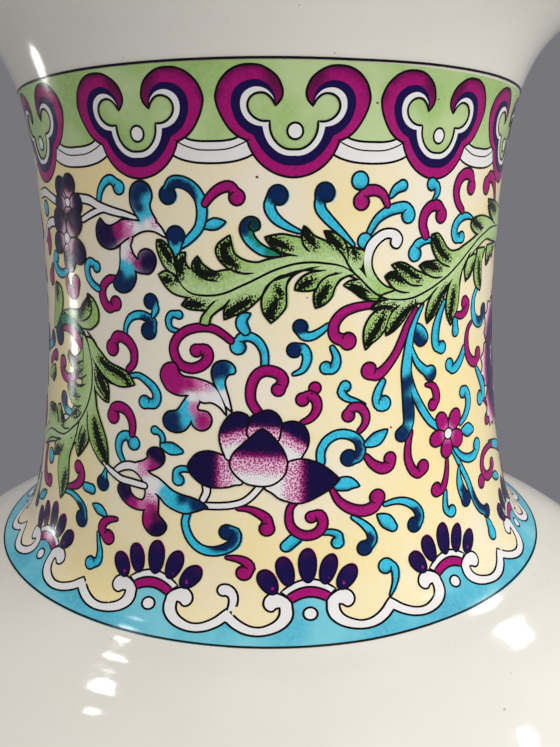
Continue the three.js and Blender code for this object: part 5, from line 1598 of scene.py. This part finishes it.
PLUME_SPRAY = [
    closed_curve([[(29.7, 58), (28.7, 56), (28, 54.5), (27.4, 52.3), (27.2, 50.5), (26.9, 47), (26.8, 44),
                   (27, 41), (27.3, 38.8), (27, 36.6), (26.2, 35), (25.3, 33.9), (24.2, 33.7), (23.2, 34.4),
                   (23.2, 35.6), (24.1, 36.3), (24.9, 37), (24.9, 39.5), (24.8, 43), (24.7, 46.5),
                   (25.3, 50), (25.9, 52.5), (27, 55), (28.5, 57.3)]]),
    stroke_loop(*stroke([(26.3, 48), (26.6, 45), (27.6, 41.8), (29.3, 38.8), (31.2, 36.3), (33, 35)],
                        (0.3, 0.75, 0.7), 0)),
    stroke_loop(*stroke([(26.8, 50.6), (28, 48), (29.6, 46.3), (31.6, 45.2)], (0.3, 0.7, 0.9), 1.45)),
]
PLUME_COLOURS = [
    ((28, 56), TURQUOISE), ((26.4, 52), TURQUOISE), ((25.7, 48), TURQUOISE), ((25.4, 46.4), TURQUOISE),
    ((25.4, 44), NAVY), ((26.2, 44.6), NAVY), ((26.4, 40.4), NAVY), ((26.3, 37.8), NAVY), ((25.4, 39.4), NAVY),
    ((26.5, 36.4), TURQUOISE), ((25.4, 35.6), NAVY), ((24.4, 35), NAVY), ((28, 42), TURQUOISE), ((30, 38.4), TURQUOISE), ((32, 36), TURQUOISE),
    ((28.6, 48), TURQUOISE), ((31.2, 45.9), TURQUOISE), ((31.4, 44.4), NAVY), ((32.2, 45), NAVY),
]


def spray(loops, spots, rim, level):
    """Loops in one spray, shaded by its spots of colour, with a grain where they run together."""
    def dots(places):
        shade = blend_spots(places, spots)
        grain = np.clip(1 - np.abs(shade[:, 0] - shade[:, 1] - 0.26) / 0.24, 0, 1) * 0.4
        return np.column_stack([np.tile(MAGENTA[:3], (len(places), 1)), grain])

    dotted = dots if any(value == MAGENTA for _, value in spots) else None
    return merged(loops, lambda places: blend_spots(places, spots), dotted, rim, level, 0.7)


sprays = laid(
    "acanthus_sprays",
    spray(FOOT_SPRAY, FOOT_COLOURS, INK, 2.2) + spray(HIGH_SPRAY, HIGH_COLOURS, INK, 2.2)
    + spray(WAIST_SPRAY, WAIST_COLOURS, INK, 2.2) + spray(PLUME_SPRAY, PLUME_COLOURS, TEAL_INK, 2.2)
    + [painted_stroke(*CROSSING_STEM, WHITE, INK, 3.6),
       ink_line([(-27.7, 67.9), (-26.2, 68.7), (-25, 69.4), (-24.3, 69.7)], INK_HALF, 3.4)],
    painted, 2,
)


# The lotus: a violet flower seen from the side, its petals stippled from violet through magenta
# to white at their roots, each lined in ink.
def graded(start, end, stops):
    """Paint that runs through the colours from one place to another."""
    start, way = np.array(start, float), np.array(end, float) - np.array(start, float)
    shares = [share for share, _ in stops]
    values = np.array([value for _, value in stops])

    def paint(places):
        share = (places - start) @ way / (way @ way)
        return np.column_stack([np.interp(share, shares, values[:, k]) for k in range(4)])

    return paint


def stippled(start, end):
    """Dots of violet, then of magenta, that thin out from one place to another."""
    violet, magenta = DEEP_VIOLET[:3], MAGENTA[:3]
    return graded(start, end, [(0, (*violet, 0.7)), (0.4, (*violet, 0.5)), (0.5, (*magenta, 0.46)),
                               (0.8, (*magenta, 0.36)), (0.95, (*magenta, 0.1))])


ROOT_TO_TIP = [(0, WHITE), (0.14, WHITE), (0.26, PALE_ROSE), (0.46, PALE_ROSE), (0.56, MAGENTA),
               (0.68, DEEP_VIOLET), (1, DEEP_VIOLET)]
LOTUS = [
    ([[(-4, 28.4), (-5.3, 27.9), (-6.5, 27.5), (-8, 27.3), (-9.4, 27.3), (-10.8, 27.7), (-12, 28.5),
       (-13, 29.5), (-13.5, 30.8), (-12.6, 32.4), (-11.5, 33.3), (-9.8, 33.7), (-8.2, 33.4),
       (-6.9, 32.9), (-4.8, 31.6)]], (-4.4, 30.4), (-11.2, 30.6)),
    ([[(-3, 36.4), (-3, 39.1), (-3.1, 40), (-3.6, 40.4), (-4.6, 40.7), (-5.7, 40.5), (-6.7, 39.6),
       (-7.6, 38.1), (-8, 36.5), (-7.8, 34.9), (-7.2, 33.3), (-6.6, 32.3), (-4.6, 32.6)]],
     (-4.8, 34.4), (-6.2, 39.2)),
    ([[(1.6, 35.2), (2.5, 38.4), (3.15, 38.9), (4.4, 39.1), (5.6, 38.8), (6.4, 38.1), (7, 36.9),
       (7.1, 35.6), (6.8, 34.4), (6.1, 33.2), (5.4, 32.4), (3.2, 32)]], (3.2, 34), (5.6, 37.8)),
    ([[(-3.2, 36.6), (-3, 38.8), (-2.6, 39.9), (-1.7, 40.4), (-0.65, 40.9), (0.4, 41.1), (1.4, 40.7),
       (2.1, 40), (2.5, 39.2), (2.5, 38), (1.8, 35.6), (-0.6, 35)]], (-0.6, 35.6), (-0.3, 40)),
    ([[(1, 30), (3.2, 31.9), (5.1, 32.5), (6.6, 32.4), (8.35, 31.8), (9.7, 31), (11.1, 29.8),
       (12.3, 28.5)],
      [(12.3, 28.5), (11.3, 27.5), (10.4, 26.8), (8.7, 25.9), (7, 25.1), (5.2, 24.7), (3.7, 25),
       (2.1, 25.6), (0.9, 26.6), (-0.4, 27.7)]], (1.4, 28.6), (9.4, 28.5)),
    ([[(-0.65, 37.9), (0.4, 37.2), (1.8, 35.6), (2.8, 34.1), (3.35, 32.5), (3.4, 31.3), (3, 29.9),
       (1.95, 28.7), (0.7, 28), (-0.6, 27.8)],
      [(-0.6, 27.8), (-1.8, 27.9), (-3.25, 28.2), (-4.6, 29.1), (-5.7, 30.3), (-6.2, 31.6),
       (-5.9, 32.9), (-5.3, 33.9), (-4.1, 35.1), (-2.6, 36.5), (-1.35, 37.6)]],
     (-1.4, 28.6), (-1, 36.6)),
]


def lotus_petal(runs, root, tip, level):
    return painted_patch(closed_curve(runs), graded(root, tip, ROOT_TO_TIP), stippled(tip, root), INK,
                         level, 0.75)


lotus_sheets = [lotus_petal(*petal, 3 + 0.5 * k) for k, petal in enumerate(LOTUS)]
lotus = laid("lotus", lotus_sheets, painted, 2)


# The blossoms: round petals about a white eye, violet in the pair at the left, magenta in the
# plum blossom at the right, each petal paler at its root.
VIOLET_PAIR = [
    ((-40.5, 75.6), 0.95, [((-44.4, 79.7), 1.95), ((-39.1, 80.5), 1.95), ((-35.9, 75), 1.9),
                           ((-45.6, 75.3), 1.7), ((-40.6, 71.4), 1.9)]),
    ((-41.9, 69.2), 1.15, [((-46.6, 73.9), 2.3), ((-37.0, 73.8), 2.3), ((-47.9, 67.7), 2.0),
                           ((-41.7, 63), 2.15), ((-36.3, 65.4), 2.15)]),
]
PLUM = [((35.8, 33.1), 1.15, [((33.3, 37.3), 1.55), ((39.5, 37), 1.7), ((30.9, 32.5), 1.5),
                              ((40.2, 30.7), 1.75), ((34.9, 28.6), 1.55)])]


def blossom(middle, eye, petals, shades, rim, level):
    sheets = []
    for k, (tip, half) in enumerate(petals):
        root = np.array(middle) + (np.array(tip) - np.array(middle)) * 0.14
        loop = petal_loop(tip, tuple(root), half)
        stops = list(zip((0, 0.22, 0.42, 0.62, 1), shades))
        sheets.append(painted_patch(loop, graded(middle, tip, stops), None, rim, level + 0.2 * k, 0.7))
    sheets.append(painted_patch(disc_loop(middle, eye, 0.92), flat_paint(WHITE), None, rim,
                                level + 1.3, 0.7, 0.16))
    return sheets


VIOLET_SHADES = (PALE_ROSE, PALE_ROSE, MAGENTA_DARK, DEEP_VIOLET, DEEP_VIOLET)
PLUM_SHADES = (PALE_ROSE, ROSE, MAGENTA, MAGENTA, MAGENTA)
blossoms = laid(
    "blossoms",
    sum((blossom(*entry, VIOLET_SHADES, INK, 3.2 + 1.8 * k) for k, entry in enumerate(VIOLET_PAIR)), [])
    + blossom(*PLUM[0], PLUM_SHADES, PLUM_INK, 3.2), painted, 2)


# Two curls beside the branches: a broad one in emerald over magenta that ends in navy, and a
# white one, washed with green, from which the right branch springs.
EMERALD = colour(24, 126, 92)
DEEP_TEAL = colour(6, 50, 52)
emerald_route, emerald_halves = stroke(
    [(-38.3, 51.9), (-40.5, 52.9), (-42.5, 53.6), (-44.8, 53.8), (-47, 53.3), (-48.8, 52.2), (-49.3, 51),
     (-48.7, 50.2)], (0.3, 0.75, 1.0, 1.1, 1.6), 2.0)
magenta_route, magenta_halves = stroke(
    [(-46.8, 51.6), (-45.3, 52), (-43.7, 52.1), (-42, 51.8), (-40.4, 50.9), (-39.1, 49.7), (-38.6, 48.6)],
    (0.25, 0.7, 0.95, 0.95, 0.4), 0)
WHITE_CURL = [[(20.1, 60), (18.6, 61.2), (17.3, 63), (16.7, 64.9), (16.6, 66.7), (17.1, 68.6), (18.3, 70),
               (20, 71), (21.7, 71.2), (23.2, 70.8), (24.1, 69.8), (24.1, 68.8), (23.4, 67.9),
               (22.4, 68), (21.8, 68.7), (21.9, 69.5)],
              [(21.9, 69.5), (21.1, 69.6), (20.2, 69.2), (19.1, 68.2), (18.4, 66.8), (18.3, 65.3),
               (18.8, 63.9), (19.9, 62.5), (21.3, 61.5), (23, 60.9)]]
BUD = [(28, 54.6), (29.3, 54.2), (30.5, 53), (30.9, 51.8), (30.3, 50.8), (29.2, 50.4), (28.2, 50.8),
       (27.4, 52), (27.5, 53.5)]
WHITE_BODY = [(-45.4, 34.8), (-43, 35.1), (-41, 34.8), (-40, 34.4), (-41, 33.5), (-43, 33.3), (-44.6, 33.6)]
GREEN_COMMA = [(2.6, 67), (1.2, 66.8), (-0.3, 66.95), (-1.7, 67.6), (-3.1, 68.8), (-4, 70.2), (-4.25, 71.3),
               (-3.9, 72.4), (-3, 73.15), (-1.9, 73.2), (-1.1, 72.7), (-0.85, 71.9), (-1.1, 71.2),
               (-1.9, 70.9), (-1.8, 70.2), (-1, 69.2), (0.2, 68.4), (1.5, 67.8)]
curls = laid("curls", [
    painted_patch(stroke_loop(magenta_route, magenta_halves), flat_paint(MAGENTA), None, PLUM_INK, 2.4),
    painted_patch(stroke_loop(emerald_route, emerald_halves),
                  lambda places: blend_spots(places, [
                      ((-40, 52.8), EMERALD), ((-43, 53.6), EMERALD), ((-46, 53.8), EMERALD),
                      ((-48.4, 52.8), DEEP_TEAL), ((-50, 51.4), DEEP_TEAL), ((-48.8, 50), NAVY)]),
                  None, INK, 2.8, 0.8),
    painted_patch(closed_curve(WHITE_CURL),
                  graded((20, 61.6), (18.4, 69), [(0, LEAF), (0.4, LEAF_PALE), (0.72, WHITE), (1, WHITE)]),
                  None, LEAF_INK, 3.0, 0.8),
    painted_patch(closed_curve([GREEN_COMMA]), lambda places: blend_spots(places, [
        ((-3.8, 71.2), NAVY), ((-3.3, 72.3), NAVY), ((-3.3, 70.7), NAVY), ((-2.2, 72.3), DEEP_TEAL),
        ((-1.4, 72), DEEP_TEAL), ((-3.3, 69.6), TURQUOISE), ((-2.3, 68.6), TURQUOISE), ((-1, 67.6), TURQUOISE),
        ((-2.4, 70.2), EMERALD), ((-1.2, 68.9), EMERALD), ((0.4, 67.8), EMERALD), ((2, 67.2), EMERALD)]),
                  None, LEAF_INK, 1.6, 0.5),
    ink_line([(-1.9, 70.9), (-2.6, 71.3), (-2.7, 72), (-2.2, 72.5)], 0.16, 3, LEAF_INK),
    painted_patch(closed_curve([BUD]), graded((28, 51.2), (30.2, 54), [(0, NAVY), (0.45, NAVY), (0.7, TURQUOISE)]),
                  None, TEAL_INK, 2.0, 0.8),
    painted_patch(closed_curve([WHITE_BODY]), flat_paint(WHITE), None, INK, 2.0, 0.8),
], painted, 2)


# The peony: a broad violet bloom at the right, its serrated petals paling from a deep violet heart
# to a white edge lined in ink.
PEONY_HEART = (67.3, 42.5)
PEONY_TIPS = [(50, 43.5), (54, 55), (65.2, 60.5), (78, 57), (84.5, 44), (79, 30.5), (67, 25.5), (53.5, 31)]


def serrated_petal(root, tip, spread, teeth, shades, level):
    """A fan-shaped petal whose edge is cut into teeth."""
    root = np.array(root, float)
    way = np.array(tip, float) - root
    length, start = np.linalg.norm(way), math.atan2(way[1], way[0])
    rim = []
    for t in np.linspace(-1, 1, 8 * teeth + 1):
        reach = length * (1 - 0.3 * t**2) * (1 - 0.07 * abs(math.cos(teeth * math.pi * t / 2)))
        angle = start + math.radians(spread) * t
        rim.append(root + reach * np.array((math.cos(angle), math.sin(angle))))
    loop = np.vstack([[root], rim])
    shares, values = [share for share, _ in shades], np.array([value for _, value in shades])

    def paint(places):
        away = np.linalg.norm(places - root, axis=1) / length
        return np.column_stack([np.interp(away, shares, values[:, k]) for k in range(4)])

    def dots(places):
        away = np.linalg.norm(places - root, axis=1) / length
        dense = np.interp(away, (0.3, 0.55, 0.85), (0.7, 0.45, 0.0))
        return np.column_stack([np.tile(DEEP_VIOLET[:3], (len(places), 1)), dense])

    return painted_patch(loop, paint, dots, INK, level, 0.9)


PEONY_SHADES = [(0, DEEP_VIOLET), (0.7, VIOLET), (0.8, MAGENTA), (0.88, PALE_ROSE), (0.95, WHITE)]
peony_sheets = []
for k, tip in enumerate(PEONY_TIPS):
    peony_sheets.append(serrated_petal(PEONY_HEART, tip, 27, 5, PEONY_SHADES, 2 + 0.25 * (k % 2)))
for k in range(5):
    turn = math.radians(72 * k + 20)
    tip = (PEONY_HEART[0] + 9 * math.cos(turn), PEONY_HEART[1] + 9 * math.sin(turn))
    peony_sheets.append(serrated_petal(PEONY_HEART, tip, 37, 5, PEONY_SHADES, 2.8 + 0.1 * k))
peony_sheets.append(painted_patch(disc_loop(PEONY_HEART, 2.6), flat_paint(MAGENTA), None, PLUM_INK, 3.8))
for k in range(7):
    turn = math.radians(60 * k)
    away = 1.5 if k < 6 else 0
    middle = (PEONY_HEART[0] + away * math.cos(turn), PEONY_HEART[1] + away * math.sin(turn))
    peony_sheets.append(painted_patch(disc_loop(middle, 0.42), flat_paint(WHITE), None, PLUM_INK, 4.6,
                                      0.8, 0.08))
peony = laid("peony", peony_sheets, painted, 2)


# The specks: a few brown and red grains that fell on the enamel before it was fired, and a short
# white scratch near the upper line.
SPECKS = [((17.7, 90.8), 0.2, (70, 48, 26)), ((29.3, 92), 0.16, (70, 48, 26)), ((-1.3, 79.4), 0.25, (96, 60, 30)),
          ((22.2, 36.6), 0.25, (190, 44, 40)), ((6.9, 60.1), 0.14, (90, 74, 70)), ((-31.3, 28.2), 0.14, (90, 74, 70))]
specks = laid("kiln_specks", [
    painted_patch(disc_loop(middle, radius, 0.8), flat_paint(colour(*paint)), None, None, 0, 0.8)
    for middle, radius, paint in SPECKS
] + [ink_line([(36.3, 92.8), (36.7, 93.2), (37.1, 93.5)], 0.08, 0.4, WHITE, 2.0)], painted)


# The floor and the studio: a pale floor that darkens away from the vase into the grey of the
# background, a broad lamp high on the right in front, a softer one low down beside it, a weak one
# overhead, and small bright panes that the glaze mirrors.
BACKGROUND = colour(119, 118, 123)
FLOOR_PALE = colour(206, 205, 206)
bpy.ops.mesh.primitive_plane_add(size=6, location=(0, 0, 0))
floor = bpy.context.object
floor.name = "floor"
floor_paint = Recipe("floor_paint")
away = floor_paint.add("ShaderNodeVectorMath", {0: floor_paint.place}, operation="LENGTH").outputs["Value"]
far = floor_paint.ranged(away, 0.42, 0.74)
speckle = floor_paint.ranged(floor_paint.noise(60, 4), 0.3, 0.7, 0.0, 0.06)
pale = floor_paint.mixed(speckle, FLOOR_PALE, (0.5, 0.5, 0.5, 1))
floor.data.materials.append(floor_paint.finish(
    Base_Color=floor_paint.mixed(far, pale, (0, 0, 0, 1)), Roughness=0.7,
    Specular_IOR_Level=floor_paint.ranged(far, 0, 1, 0.3, 0), Emission_Color=BACKGROUND,
    Emission_Strength=far))


def lamp(name, power, size, place, aim=(0, 0, 0.3), mirrored_in_glaze=False):
    data = bpy.data.lights.new(name, "AREA")
    data.energy = power
    data.shape = "DISK"
    data.size = size
    holder = bpy.data.objects.new(name, data)
    bpy.context.scene.collection.objects.link(holder)
    holder.location = place
    holder.rotation_euler = (Vector(aim) - Vector(place)).to_track_quat("-Z", "Y").to_euler()
    holder.visible_glossy = mirrored_in_glaze


lamp("key_lamp", 24, 2.6, (1.3, -1.3, 1.7))
lamp("low_lamp", 16, 1.4, (1.5, -1.2, 0.3))
lamp("top_lamp", 6, 1.6, (0.1, 0.2, 2.1))
PANES = [
    (1.8, 0.2, (1.02, 0.6, 1.37), (0.040, -0.049, 0.279)),
    (0.65, 0.12, (1.25, -0.21, 1.31), (0.040, -0.071, 0.269)),
    (0.3, 0.1, (-0.68, 0.42, 1.65), (-0.027, -0.066, 0.275)),
    (0.5, 0.12, (-0.78, 0.20, 1.66), (-0.027, -0.066, 0.275)),
    (0.25, 0.1, (-0.86, -0.05, 1.63), (-0.027, -0.066, 0.275)),
    (0.7, 0.16, (-1.51, 0.56, 0.15), (-0.039, -0.036, 0.375)),
]
for number, (power, size, place_, aim) in enumerate(PANES):
    lamp(f"pane_{number}", power, size, place_, aim, True)

world = bpy.data.worlds.new("studio")
bpy.context.scene.world = world
world.use_nodes = True
nodes, links = world.node_tree.nodes, world.node_tree.links
room = nodes["Background"]
room.inputs["Color"].default_value = (0.93, 0.94, 0.97, 1)
room.inputs["Strength"].default_value = 0.7
seen = nodes.new("ShaderNodeBackground")
seen.inputs["Color"].default_value = BACKGROUND
path = nodes.new("ShaderNodeLightPath")
either = path.outputs["Is Camera Ray"]
for kind in ("Is Transmission Ray", "Is Glossy Ray"):
    larger = nodes.new("ShaderNodeMath")
    larger.operation = "MAXIMUM"
    links.new(either, larger.inputs[0])
    links.new(path.outputs[kind], larger.inputs[1])
    either = larger.outputs[0]
mixing = nodes.new("ShaderNodeMixShader")
links.new(either, mixing.inputs[0])
links.new(room.outputs[0], mixing.inputs[1])
links.new(seen.outputs[0], mixing.inputs[2])
links.new(mixing.outputs[0], nodes["World Output"].inputs["Surface"])

# The camera: close in front of the neck and a little above it, as in the photograph.
camera_data = bpy.data.cameras.new("camera")
camera = bpy.data.objects.new("camera", camera_data)
bpy.context.scene.collection.objects.link(camera)
bpy.context.scene.camera = camera
camera_data.lens = 34.85
camera.location = (0, -0.16866, 0.35047)
level_look = Euler((math.radians(90 - 13.2), 0, math.radians(-0.72))).to_matrix()
camera.rotation_euler = (level_look @ Matrix.Rotation(math.radians(-0.09), 3, "Z")).to_euler()
bpy.context.scene.view_settings.view_transform = "Standard"
